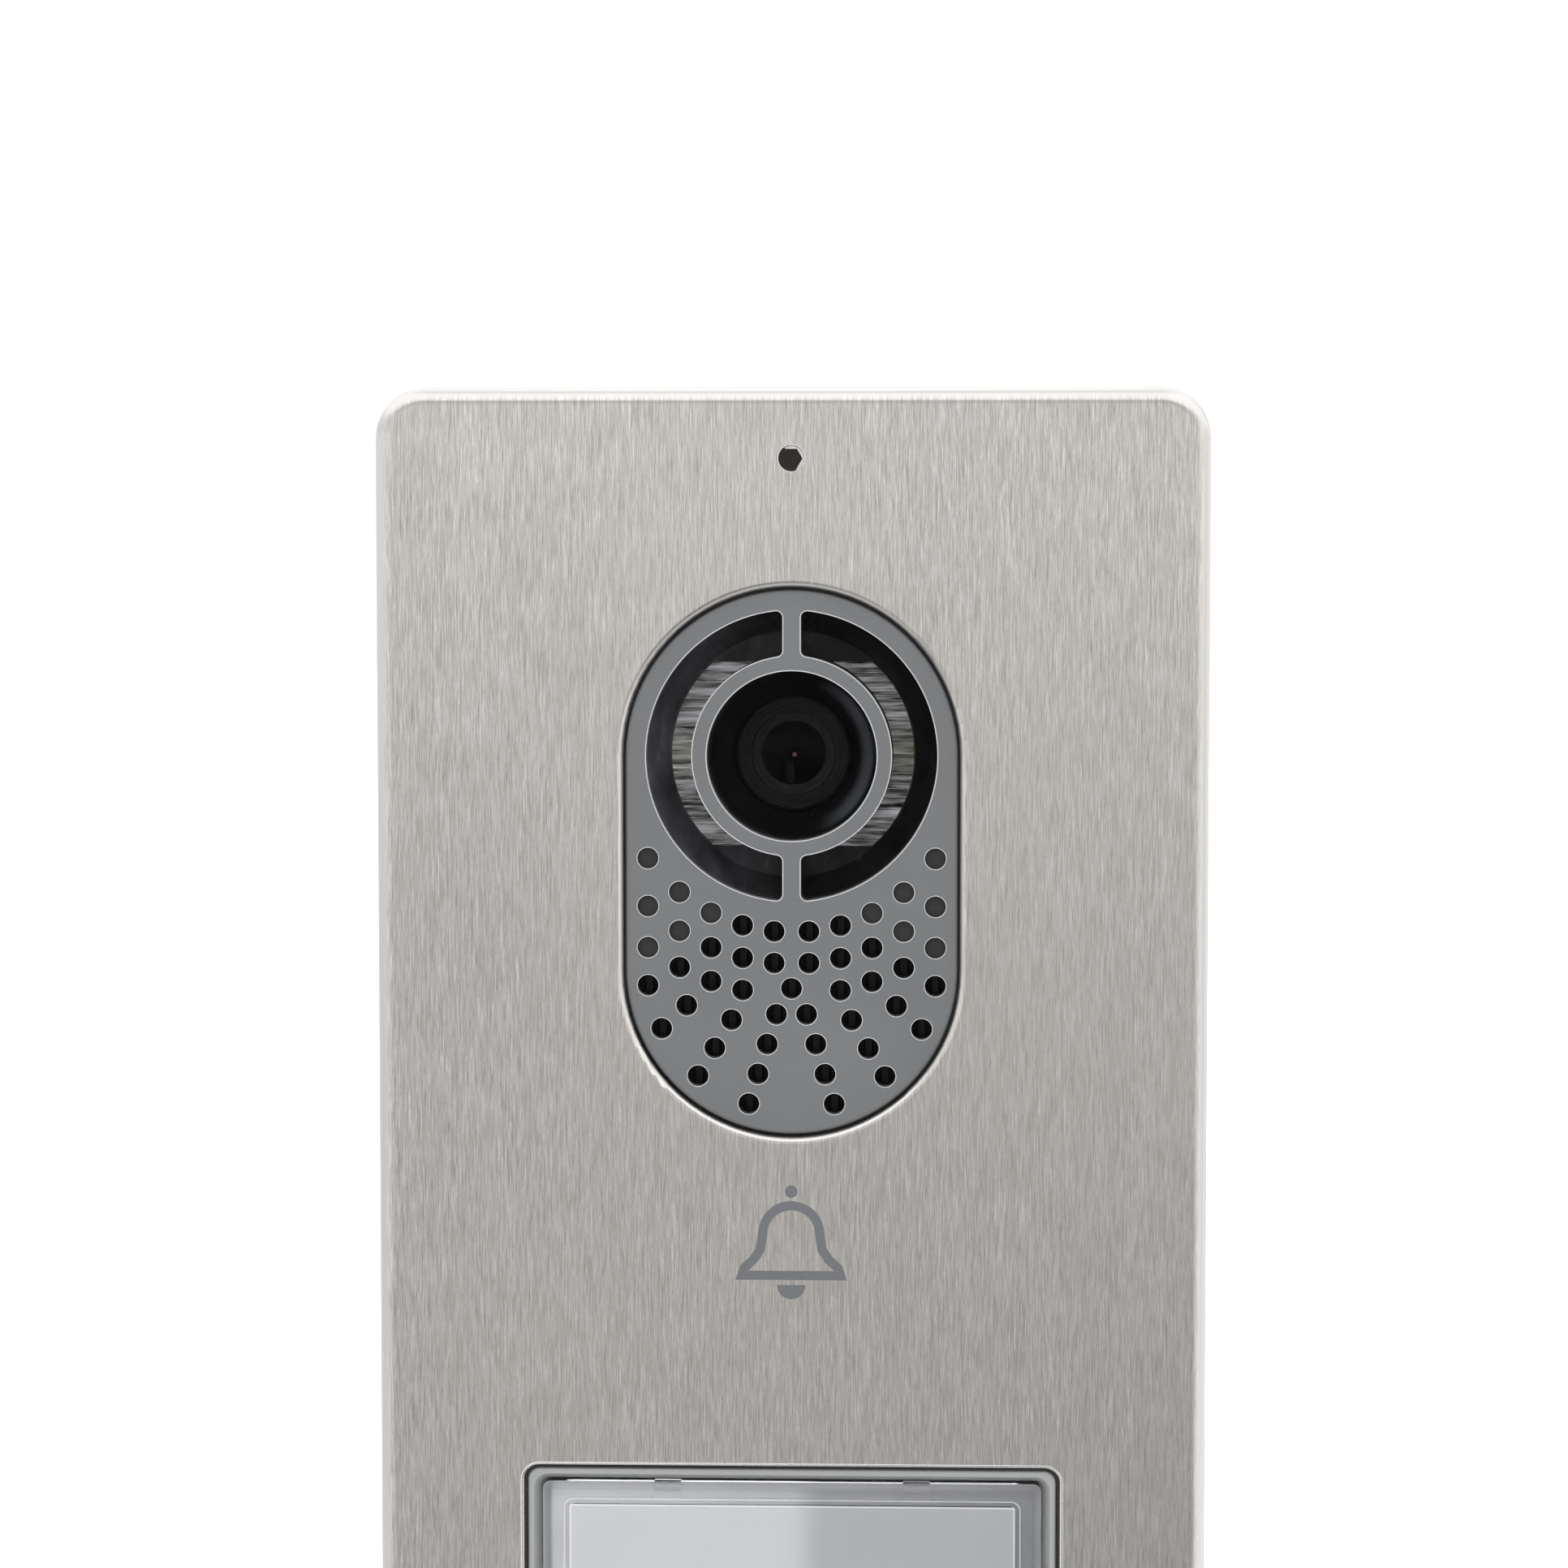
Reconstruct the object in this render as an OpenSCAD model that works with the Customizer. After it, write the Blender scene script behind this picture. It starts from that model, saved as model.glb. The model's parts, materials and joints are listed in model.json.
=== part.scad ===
// Door intercom panel: a slim brushed-steel call station with a camera, a loudspeaker and one lit call key.
// X is the width, Z is up, and Y runs from the front face (negative) to the wall at Y = 0.
// Depths are counted from the front face of the steel plate, towards the wall.

/* [Front plate] */
// Width of the steel plate
panel_w = 99; // [97:0.5:104]
// Height of the steel plate
panel_h = 214; // [210:1:226]
// Depth from the front face to the wall
panel_d = 32; // [32:0.5:40]
// Corner radius of the plate, seen from the front
corner_r = 6; // [5:0.5:8]
// Radius of the bend between the face and the side flange
edge_r = 2; // [1.5:0.1:3]
// Thickness of the sheet
plate_t = 1.2; // [1:0.1:1.3]
// Depth of the side flange
flange_d = 12; // [11.6:0.1:12.2]

/* [Camera grille] */
// Width of the grille, which has round ends
grille_w = 39.5; // [39:0.1:40]
// Height of the grille
grille_h = 64.9; // [63:0.1:66]
// Distance from the top of the plate to the top of the grille
grille_drop = 23.9; // [22:0.1:26]
// Diameter of the sound holes
sound_hole_d = 2.5; // [2:0.1:2.8]
// Distance between the arcs of sound holes
hole_pitch = 3.76; // [3.6:0.02:3.8]

/* [Call key] */
// Width of the key
key_w = 63.5; // [60:0.5:66]
// Height of the key
key_h = 61; // [56:0.5:63]
// Distance from the top of the plate to the top of the key
key_drop = 129.2; // [127:0.2:131]
// Travel of the key
key_travel = 1.2; // [0.6:0.1:1.3]

/* [Fastening] */
// Distance from the plate's end to a security screw
screw_inset = 8.4; // [8:0.1:10]
// Distance between the wall screws, across
wall_pitch_x = 60; // [50:1:64]
// Distance between the wall screws, up
wall_pitch_z = 160; // [140:1:170]
// Radius of the wall screw holes
wall_hole_r = 2.25; // [2:0.05:2.75]
// Radius of the hole for the cable in the grommet
cable_r = 4; // [3:0.5:5]

/* [Hidden] */
$fn = 96;

// Layers, as depths from the front face
lip_d = 2.8;              // rear of the rolled lip round the grille
key_lip_d = 2.2;          // rear of the rolled lip round the key
grille_face = 0.8;        // the grille sits this far behind the steel face
grille_rear = 2.8;
window_rear = 4.0;
grille_flange_rear = 4.4;
mesh_rear = 4.6;
dish_floor = 7.0;
dish_rear = 8.0;
deck_front = 8.2;         // the deck is the chassis's main wall
deck_rear = 10.2;
bracket_rear = 11.7;
chassis_rear = 11.0;
gasket_rear = 12.6;       // the housing frame starts here
board_front = 18.0;
board_rear = 19.6;
sensor_front = 17.5;
sensor_rear = 18.7;
floor_front = panel_d - 2.5;
key_rear = 6.8;
card_w = key_w - 10.2;
card_h = key_h - 10.2;
pin_end = board_front - key_travel - 0.2; // the key's guide pins stop short of the board

// Housing behind the plate
housing_step = 0.4;       // the housing stands this far inside the plate's outline
housing_w = panel_w - 2 * housing_step;
housing_h = panel_h - 2 * housing_step;
wall_t = 3;

// Places, seen from the front
grille_z = panel_h / 2 - grille_drop - grille_h / 2;
lens_z = panel_h / 2 - grille_drop - grille_w / 2;
speaker_z = lens_z - 34.4;
key_z = panel_h / 2 - key_drop - key_h / 2;
screw_z = panel_h / 2 - screw_inset;
grommet_z = -35;
pin_x = 26.5;             // guide pins of the key, from its centre
pin_z = 24.5;
boss_places = [for (x = [-38, 38], z = [-84, -12, 40]) [x, z]];
stud_places = [for (x = [-38, 38], z = [-92, 92]) [x, z]];
pin_places = [for (x = [-pin_x, pin_x], z = [-pin_z, pin_z]) [x, key_z + z]];
trimmer_places = [[-33, -50], [33, -50]];
microphone_x = -28;
microphone_d = 4.8;
microphone_floor = -panel_h / 2 + plate_t + 2.5; // inner face of the chassis's lower wall
lead_z = microphone_floor + 13.8; // where the microphone's lead turns towards the board

// Fits
gap = 0.5;                // between the plate's flange and the chassis
run = 0.05;               // radial clearance of a moving fit
opening_gap = 0.3;        // between a lip and what shows through it

// Camera radii
outer_window_r = 17.3;
inner_window_r = 11.95;
lens_hole_r = 10.1;
barrel_r = 7.0;
glass_r = 5.1;
spoke_w = 2.2;
window_corner_r = 0.75;
diffuser_half_h = 11.05;

// Sound holes, from the camera's centre: columns that end on arcs, then a fan below them
first_arc = 21;
column_0 = 2.07;
column_arcs = [1, 2, 2, 2, 3];      // the last arc of each column
function arc_point(x, arc) = [x, -sqrt(pow(first_arc + arc * hole_pitch, 2) - x * x)];
function column_x(column) = column_0 + column * hole_pitch;
blind_holes = [for (c = [2 : 4], a = [0 : c - 2]) arc_point(column_x(c), a)];
open_holes = concat(
    [for (c = [0 : 4], a = [max(0, c - 1) : column_arcs[c]]) arc_point(column_x(c), a)],
    [for (i = [0 : 2]) arc_point(7.16 + 2 * i, 3 + i)],
    [for (i = [0 : 1]) arc_point(12.5 + 3 * i, 3 + i)],
    [for (i = [0 : 3]) [1.8 + 1.1 * i, -30.8 - 3.58 * i]]
);
centre_hole = [0, -27.7];

// Flat outlines, drawn in X and Z

module round_rect(w, h, r) {
    square([w - 2 * r, h], center = true);
    square([w, h - 2 * r], center = true);
    for (x = [-1, 1], z = [-1, 1])
        translate([x * (w / 2 - r), z * (h / 2 - r)]) circle(r);
}

module stadium(w, h) {
    square([w, h - w], center = true);
    for (z = [-1, 1]) translate([0, z * (h - w) / 2]) circle(w / 2);
}

module ring(outer, inner) {
    difference() {
        circle(outer);
        circle(inner);
    }
}

// The two side windows of the grille, with rounded corners, drawn round the camera's centre
module side_windows(grow = 0) {
    f = window_corner_r + grow;
    outer = outer_window_r + grow;
    inner = inner_window_r - grow;
    x0 = spoke_w / 2 - grow;
    z_outer = sqrt(pow(outer - f, 2) - pow(x0 + f, 2));
    z_inner = sqrt(pow(inner + f, 2) - pow(x0 + f, 2));
    for (side = [-1, 1]) mirror([side < 0 ? 1 : 0, 0]) {
        intersection() {
            ring(outer, inner);
            translate([x0 + f, -outer]) square([outer, 2 * outer]);
        }
        for (up = [-1, 1]) mirror([0, up < 0 ? 1 : 0]) {
            translate([x0, z_inner]) square([2 * f, z_outer - z_inner]);
            translate([x0 + f, z_outer]) circle(f, $fn = 32);
            translate([x0 + f, z_inner]) circle(f, $fn = 32);
        }
    }
}

// One side of the ring of light, cut off level above and below
module diffuser_outline(inner, outer, half_h, side) {
    intersection() {
        ring(outer, inner);
        translate([side * outer / 2, 0]) square([outer, 2 * half_h], center = true);
    }
}

module each_hole(places) {
    for (side = [-1, 1], p = places) translate([side * p[0], p[1]]) children();
}

// Solids made from outlines

module slab(d0, d1) {
    translate([0, d1 - panel_d, 0]) rotate([90, 0, 0]) linear_extrude(d1 - d0) children();
}

module peg(place, r, d0, d1) {
    slab(d0, d1) translate(place) circle(r);
}

// A profile of radius and depth, turned about an axis that runs from front to back
module turned(place) {
    translate([place[0], -panel_d, place[1]]) rotate([-90, 0, 0]) rotate_extrude() children();
}

// A profile of reach and depth, carried round a rounded rectangle from its corner centres
module carried(w, h, r) {
    half = [w / 2 - r, h / 2 - r];
    translate([0, -panel_d, 0]) for (i = [0 : 3]) rotate([0, 90 * i, 0]) {
        reach = half[i % 2];
        run_z = half[(i + 1) % 2];
        translate([reach, 0, 0]) {
            if (run_z > 0) linear_extrude(2 * run_z, center = true) children();
            translate([0, 0, -run_z]) rotate([-90, 0, 0]) rotate_extrude(angle = 90) children();
        }
    }
}

module core(w, h, r, d0, d1) {
    if (w > 2 * r) slab(d0, d1) square([w - 2 * r, h - 2 * r], center = true);
}

// A rounded rectangle whose front edge is rounded too
module pillow(w, h, r, d0, d1, edge) {
    carried(w, h, r) {
        translate([0, d0]) square([r - edge, d1 - d0]);
        translate([0, d0 + edge]) square([r, d1 - d0 - edge]);
        intersection() {
            translate([r - edge, d0 + edge]) circle(edge, $fn = 48);
            translate([0, d0]) square([r, 2 * edge]);
        }
    }
    core(w, h, r, d0, d1);
}

// What is cut out for an opening whose lip rolls inwards
module rolled_opening(w, h, r, depth, edge) {
    carried(w, h, r) {
        translate([0, -1]) square([r, depth + 2]);
        translate([r, 0]) difference() {
            translate([-0.1, -0.1]) square([edge + 0.1, edge + 0.1]);
            translate([edge, edge]) circle(edge, $fn = 48);
            translate([edge, edge - 0.2]) square([0.2, 0.2]);
        }
    }
    core(w, h, r, -1, depth + 1);
}

module coil(place, mean_r, wire_r, d0, d1, turns) {
    per_turn = 16;
    sides = 6;
    rings = turns * per_turn;
    rise = d1 - d0 - 2 * wire_r;
    points = [for (i = [0 : rings], s = [0 : sides - 1])
        let (a = 360 * i / per_turn, b = 360 * s / sides, r = mean_r + wire_r * cos(b))
        [r * cos(a), d0 + wire_r + rise * i / rings + wire_r * sin(b), r * sin(a)]];
    walls = [for (i = [0 : rings - 1], s = [0 : sides - 1])
        let (n = (s + 1) % sides, k = i * sides)
        [k + s, k + n, k + sides + n, k + sides + s]];
    near_end = [for (s = [sides - 1 : -1 : 0]) s];
    far_end = [for (s = [0 : sides - 1]) rings * sides + s];
    translate([place[0], -panel_d, place[1]])
        polyhedron(points, concat(walls, [near_end, far_end]), convexity = 6);
}

// Front plate and grille

module front_plate() {
    inner = edge_r - plate_t;
    grille_open_w = grille_w + 2 * opening_gap;
    grille_open_h = grille_h + 2 * opening_gap;
    key_open_w = key_w + 2 * opening_gap;
    key_open_h = key_h + 2 * opening_gap;
    color("silver") difference() {
        union() {
            difference() {
                pillow(panel_w, panel_h, corner_r, 0, flange_d, edge_r);
                pillow(panel_w - 2 * plate_t, panel_h - 2 * plate_t, corner_r - plate_t,
                    plate_t, flange_d + 1, inner);
            }
            slab(plate_t / 2, lip_d) translate([0, grille_z])
                stadium(grille_open_w + 2, grille_open_h + 2);
            slab(plate_t / 2, key_lip_d) translate([0, key_z])
                round_rect(key_open_w + 2, key_open_h + 2, 2.8);
            for (p = stud_places) peg(p, 1.5, plate_t / 2, 13);
        }
        translate([0, 0, grille_z])
            rolled_opening(grille_open_w, grille_open_h, grille_open_w / 2, lip_d, 0.8);
        translate([0, 0, key_z])
            rolled_opening(key_open_w, key_open_h, 1.8, key_lip_d, 0.5);
        for (z = [-screw_z, screw_z]) peg([0, z], 1.55, -1, plate_t + 1);
        translate([microphone_x, microphone_d - panel_d, -panel_h / 2 - 1])
            cylinder(h = 2 + plate_t, r = 1);
    }
}

module stud_nuts() {
    color("lightgray") for (p = stud_places) slab(deck_rear, deck_rear + 2.4) translate(p)
        difference() {
            circle(r = 3.18, $fn = 6);
            circle(1.5 + run);
        }
}

module camera_grille() {
    cavity_w = 37.8;
    hole_r = sound_hole_d / 2;
    edge = 0.15;
    color([0.49, 0.5, 0.51]) difference() {
        union() {
            translate([0, 0, grille_z])
                pillow(grille_w, grille_h, grille_w / 2, grille_face, grille_rear, 0.4);
            slab(grille_rear, grille_flange_rear) translate([0, grille_z])
                stadium(grille_w + 4, grille_h + 4);
        }
        slab(grille_rear, grille_flange_rear + 1) translate([0, grille_z])
            stadium(cavity_w, grille_h - grille_w + cavity_w);
        slab(grille_face - 1, grille_rear + 1) translate([0, lens_z]) side_windows();
        slab(grille_face - 1, grille_face + edge) translate([0, lens_z]) side_windows(edge);
        turned([0, lens_z]) {
            translate([0, grille_face - 1]) square([lens_hole_r, grille_rear + 1]);
            polygon([[0, grille_face - 1], [lens_hole_r + edge + 1, grille_face - 1],
                [lens_hole_r, grille_face + edge], [0, grille_face + edge]]);
        }
        translate([0, 0, lens_z]) {
            slab(grille_face - 1, grille_rear + 1) {
                each_hole(concat(open_holes, blind_holes)) circle(hole_r, $fn = 32);
                translate(centre_hole) circle(hole_r, $fn = 32);
            }
            for (side = [-1, 1], p = concat(open_holes, blind_holes, [centre_hole]))
                if (side > 0 || p[0] > 0)
                    translate([side * p[0], grille_face - panel_d, p[1]]) rotate([-90, 0, 0])
                        cylinder(h = edge, r1 = hole_r + edge, r2 = hole_r, $fn = 32);
        }
    }
}

module speaker_baffle() {
    bar_w = 0.8;
    bar_front = 3.6;
    cut_r = sound_hole_d / 2 + 0.1;
    color([0.09, 0.09, 0.1]) difference() {
        slab(grille_rear, grille_flange_rear) difference() {
            translate([0, grille_z]) stadium(37.4, grille_h - grille_w + 37.4);
            translate([0, lens_z]) circle(19.2);
            translate([-20, lens_z - 8]) square([40, 40]);
        }
        translate([0, 0, lens_z]) {
            slab(grille_rear - 1, bar_front) {
                each_hole(open_holes) circle(cut_r, $fn = 32);
                translate(centre_hole) circle(cut_r, $fn = 32);
            }
            slab(bar_front - 0.01, grille_flange_rear + 1) {
                each_hole(open_holes) half_moons(cut_r, bar_w);
                translate(centre_hole) half_moons(cut_r, bar_w);
            }
        }
    }
}

module half_moons(r, bar_w) {
    difference() {
        circle(r, $fn = 32);
        square([bar_w, 2 * r + 1], center = true);
    }
}

module acoustic_mesh() {
    color([0.05, 0.05, 0.05]) slab(grille_flange_rear, mesh_rear) difference() {
        translate([0, grille_z]) stadium(37.4, grille_h - grille_w + 37.4);
        translate([0, lens_z]) circle(19.2);
        translate([-20, lens_z - 8]) square([40, 40]);
    }
}

// Camera

module lens_window() {
    color([0.6, 0.6, 0.62, 0.4]) peg([0, lens_z], 18.6, grille_rear, window_rear);
}

module camera_shroud() {
    floor_r = 14.8;
    tube_r = 11.9;
    cone_rear = 8.6;
    seat_rear = 9.6;
    tube_rear = 15.5;
    holder_r = 10.4;
    throat_r = barrel_r + 0.1;
    color([0.06, 0.06, 0.065]) difference() {
        turned([0, lens_z]) polygon([
            [lens_hole_r, window_rear], [tube_r, window_rear], [tube_r, dish_floor],
            [floor_r, dish_floor], [outer_window_r, window_rear], [17.6, window_rear],
            [17.6, dish_rear], [tube_r, dish_rear], [tube_r, tube_rear], [holder_r, tube_rear],
            [holder_r, seat_rear], [throat_r, seat_rear], [throat_r, cone_rear]
        ]);
        slab(dish_floor - 1, dish_rear + 1) translate([0, lens_z]) for (side = [-1, 1])
            diffuser_outline(12, 14.6, diffuser_half_h + 0.05, side);
    }
}

module led_diffuser(side) {
    rib_pitch = 1.3;
    color([0.85, 0.86, 0.82]) {
        slab(dish_floor, dish_rear + 0.6) translate([0, lens_z])
            diffuser_outline(12.05, 14.55, diffuser_half_h, side);
        for (i = [-8 : 8]) slab(dish_floor - 0.4, dish_floor) translate([0, lens_z])
            intersection() {
                diffuser_outline(12.05, 14.55, diffuser_half_h, side);
                translate([side * 13, i * rib_pitch]) square([6, rib_pitch * 0.6], center = true);
            }
    }
}

module led_diffuser_left() led_diffuser(-1);

module led_diffuser_right() led_diffuser(1);

module camera_leds() {
    color([0.95, 0.9, 0.55]) for (side = [-1, 1], a = [-32, 0, 32])
        slab(8.7, 9.2) translate([0, lens_z]) rotate(side > 0 ? a : 180 + a)
            translate([13.6, 0]) square([2.2, 3], center = true);
}

module led_ring_board() {
    color([0.9, 0.92, 0.9]) slab(9.2, deck_rear) translate([0, lens_z]) ring(17.2, 12.2);
}

module camera_bracket() {
    color([0.12, 0.12, 0.13]) {
        slab(deck_rear, bracket_rear) translate([0, lens_z]) difference() {
            round_rect(46, 31, 2);
            circle(12.1);
            for (x = [-20.5, 20.5]) translate([x, 0]) circle(1.3);
        }
        for (x = [-13.6, 13.6]) slab(bracket_rear, sensor_front) translate([x, lens_z])
            ring(1.4, 0.75);
    }
}

module bracket_screws() {
    color("silver") for (x = [-20.5, 20.5]) {
        pan_head([x, lens_z], 2.2, 0.9, bracket_rear, 1.4);
        peg([x, lens_z], 1.2, deck_front + 0.4, bracket_rear);
    }
}

// A pan head with a cross recess, whose seat is at depth d and which faces the wall
module pan_head(place, r, slot_w, d, high) {
    slab(d, d + high / 2) translate(place) circle(r);
    slab(d + high / 2, d + high) translate(place) difference() {
        circle(r);
        square([slot_w / 2, 1.3 * r], center = true);
        square([1.3 * r, slot_w / 2], center = true);
    }
}

module lens_barrel() {
    front = 8.6;
    rear = 15.5;
    color([0.1, 0.1, 0.105]) turned([0, lens_z]) polygon([
        [glass_r, front + 0.3], [glass_r + 0.3, front], [barrel_r - 0.3, front],
        [barrel_r, front + 0.3], [barrel_r, rear], [4.3, rear], [4.3, 11.4], [glass_r, 11.4]
    ]);
}

module lens_front_glass() {
    dome_r = 7;
    apex = 9.4;
    color([0.05, 0.05, 0.08, 0.6]) intersection() {
        translate([0, apex + dome_r - panel_d, lens_z]) sphere(dome_r);
        peg([0, lens_z], glass_r - run, apex - 1, 11.4);
    }
}

module lens_rear_glass() {
    color([0.05, 0.05, 0.08, 0.6]) peg([0, lens_z], 4.3 - run, 13, 14.5);
}

module lens_holder() {
    base_front = 15.6;
    color([0.08, 0.08, 0.085]) {
        slab(12, base_front) translate([0, lens_z]) ring(8.5, barrel_r + run);
        slab(base_front, sensor_front) translate([0, lens_z]) difference() {
            round_rect(20, 20, 1);
            square([12, 12], center = true);
        }
    }
}

module image_sensor() {
    color([0.2, 0.25, 0.3]) slab(16.7, sensor_front) translate([0, lens_z])
        square([8, 7], center = true);
}

module sensor_board() {
    color([0.08, 0.3, 0.16]) slab(sensor_front, sensor_rear) translate([0, lens_z]) difference() {
        round_rect(32, 22, 1);
        for (x = [-13.6, 13.6]) translate([x, 0]) circle(1);
    }
}

module camera_screws() {
    color("silver") for (x = [-13.6, 13.6]) {
        pan_head([x, lens_z], 1.8, 0.8, sensor_rear, 1.2);
        peg([x, lens_z], 0.7, sensor_front - 3.5, sensor_rear);
    }
}

// The flat cable bows out between its two connectors
module ribbon_cable() {
    start = [lens_z - 10, 19.5];
    finish = [43, 20.4];
    bow = 1.6;
    thickness = 0.25;
    steps = 10;
    function at(t) = [start[0] + (finish[0] - start[0]) * t,
        start[1] + (finish[1] - start[1]) * t + bow * (1 - cos(360 * t)) / 2];
    outline = concat(
        [for (i = [0 : steps]) at(i / steps)],
        [for (i = [steps : -1 : 0]) at(i / steps) + [0, thickness]]
    );
    color([0.9, 0.9, 0.88]) rotate([90, 0, 90]) linear_extrude(10, center = true)
        polygon([for (p = outline) [p[1] - panel_d, p[0]]]);
}

module ribbon_connectors() {
    color([0.93, 0.9, 0.82]) {
        slab(sensor_rear, 20.2) translate([0, lens_z - 8.5]) square([12, 3], center = true);
        slab(board_rear, 21.1) translate([0, 41.5]) square([12, 3], center = true);
    }
}

// Loudspeaker

module speaker_gasket() {
    color([0.1, 0.1, 0.1]) slab(deck_rear, 11) translate([0, speaker_z]) ring(17.8, 15.2);
}

module speaker_basket() {
    color([0.16, 0.16, 0.17]) {
        turned([0, speaker_z]) polygon([
            [14.5, 11], [18, 11], [18, 12.2], [15.6, 12.2], [15.6, 16], [7.55, 16],
            [7.55, 15], [14.5, 15]
        ]);
    }
}

module speaker_cone() {
    color([0.07, 0.07, 0.07]) {
        turned([0, speaker_z]) polygon([
            [0, 11.9], [3.6, 12.2], [5.3, 12.9], [12.6, 11.4], [13, 11.1], [13.6, 10.9],
            [14.1, 11.1], [14.3, 11.5], [14.3, 11.8], [13.9, 11.4], [13.6, 11.2], [13.1, 11.4],
            [12.7, 11.7], [5.6, 13.2], [5.6, 15.8], [5, 15.8], [5, 13.1], [3.5, 12.5], [0, 12.2]
        ]);
    }
}

module speaker_magnet() {
    color("darkgray") turned([0, speaker_z]) polygon([
        [0, 13.6], [4.5, 13.6], [4.5, 16.6], [6.3, 16.6], [6.3, 13.6], [7.5, 13.6],
        [7.5, 17.6], [0, 17.6]
    ]);
}

module speaker_contacts() {
    color("gold") for (x = [-5, 5]) {
        peg([x, speaker_z - 12.5], 1, 16, 17);
        peg([x, speaker_z - 12.5], 0.6, 17, board_front);
    }
}

// Chassis

module chassis() {
    outer_w = panel_w - 2 * plate_t - 2 * gap;
    outer_h = panel_h - 2 * plate_t - 2 * gap;
    wall = 2;
    wall_front = plate_t + 0.1;
    guide_floor = 14.5;
    guide_rear = 16;
    washer_rear = 5.2;
    boss_rear = 14.5;
    color([0.2, 0.2, 0.21]) difference() {
        union() {
            slab(wall_front, chassis_rear) difference() {
                round_rect(outer_w, outer_h, 4.2);
                round_rect(outer_w - 2 * wall, outer_h - 2 * wall, 2.4);
            }
            slab(deck_front, deck_rear) round_rect(outer_w - 1, outer_h - 1, 3.7);
            peg([0, speaker_z], 16.4, mesh_rear, deck_rear);
            for (z = [-screw_z, screw_z]) peg([0, z], 4, washer_rear, boss_rear);
            for (p = boss_places) peg(p, 3.4, deck_rear - 0.5, board_front);
            for (p = pin_places) peg(p, 4.2, deck_front, guide_rear);
        }
        peg([0, lens_z], 17.9, deck_front - 1, deck_rear + 1);
        peg([0, speaker_z], 15, mesh_rear - 1, deck_rear + 1);
        slab(deck_front - 1, deck_rear + 1) translate([0, key_z]) square([44, 40], center = true);
        for (z = [-screw_z, screw_z]) peg([0, z], 1.7, washer_rear - 1, boss_rear + 1);
        for (p = stud_places) peg(p, 1.7, deck_front - 1, deck_rear + 1);
        for (p = boss_places) peg(p, 1.45, deck_rear + 1, board_front + 1);
        for (p = pin_places) {
            peg(p, 3.2, deck_front - 1, guide_floor);
            peg(p, 1.5 + run, guide_floor - 1, guide_rear + 1);
        }
        for (x = [-20.5, 20.5]) peg([x, lens_z], 1.25, deck_front - 1, deck_rear + 1);
        peg([microphone_x, lead_z], 1.4, deck_front - 1, deck_rear + 1);
        translate([microphone_x, microphone_d - panel_d, -panel_h / 2])
            cylinder(h = 6, r = 1);
    }
}

// Call key

module key_frame() {
    ledge = 3.5;
    web = 5.4;
    color([0.6, 0.61, 0.62]) difference() {
        union() {
            translate([0, 0, key_z]) pillow(key_w, key_h, 1.5, 0.6, key_rear, 0.35);
            slab(2.4, 4) translate([0, key_z]) round_rect(key_w + 2.8, key_h + 2.8, 2.5);
            for (p = pin_places) peg(p, 1.5, 6, pin_end);
        }
        translate([0, 0, key_z]) {
            bevelled_well(key_w - 3.2, key_h - 3.2, 0.9, 0.6, 2.2, 0.8);
            slab(2.1, ledge) round_rect(key_w - 3.2, key_h - 3.2, 0.9);
            slab(ledge - 0.1, web) round_rect(card_w + 0.4, card_h + 0.4, 0.6);
            slab(web - 0.1, key_rear + 1) round_rect(48, 44, 2);
        }
    }
}

// A well whose wall slopes outwards towards the front
module bevelled_well(w, h, r, d0, d1, slope) {
    carried(w, h, r) polygon([[0, d0 - 1], [r + slope, d0 - 1], [r + slope, d0], [r, d1], [0, d1]]);
    core(w, h, r, d0 - 1, d1);
}

module key_diffuser() {
    post_r = 2.5;
    color([0.93, 0.94, 0.95]) {
        slab(3.6, 5.4) translate([0, key_z]) round_rect(card_w, card_h, 0.5);
        peg([0, key_z], post_r, 5.4, 13);
        peg([0, key_z], 5, 5.4, 6.4);
    }
}

module name_card() {
    color([0.83, 0.84, 0.85]) slab(3, 3.3) translate([0, key_z])
        square([card_w, card_h], center = true);
}

module card_cover() {
    w = key_w - 3.6;
    h = key_h - 3.6;
    pocket_w = key_w - 8.2;
    pocket_h = key_h - 8;
    color([0.85, 0.87, 0.9, 0.35]) difference() {
        translate([0, 0, key_z]) pillow(w, h, 1, 0.5, 3.3, 0.9);
        slab(2.9, 4) translate([0, key_z]) {
            round_rect(pocket_w, pocket_h, 1.2);
            for (x = [-15, 15], z = [-1, 1])
                translate([x, z * pocket_h / 2]) square([3.2, 1.6], center = true);
        }
        slab(1.6, 4) translate([0, key_z]) for (x = [-1, 1], z = [-1, 1])
            translate([x * w / 2, z * (h / 2 - 4)]) square([0.4, 9], center = true);
    }
}

module return_springs() {
    color("silver") for (p = pin_places) coil(p, 2.4, 0.3, key_rear, 14.5, 4);
}

module switch_body() {
    color([0.1, 0.1, 0.1]) difference() {
        slab(14.6, board_front) translate([0, key_z]) square(6.2, center = true);
        peg([0, key_z], 1.7 + run, 14, 15.9 + key_travel + 0.2);
    }
}

module switch_plunger() {
    color([0.75, 0.15, 0.1]) peg([0, key_z], 1.7, 13.05, 15.9);
}

module card_leds() {
    color([0.95, 0.9, 0.6]) for (x = [-14, 14], z = [-12, 12])
        slab(16.6, board_front) translate([x, key_z + z]) square(5, center = true);
}

// Main board

module main_board() {
    color([0.07, 0.32, 0.17]) slab(board_front, board_rear) difference() {
        translate([0, -23]) round_rect(84, 138, 2);
        for (p = boss_places) translate(p) circle(1.7);
    }
}

module board_screws() {
    color("silver") for (p = boss_places) {
        pan_head(p, 2.8, 1.2, board_rear, 1.8);
        peg(p, 1.4, board_front - 5, board_rear);
    }
}

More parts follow.
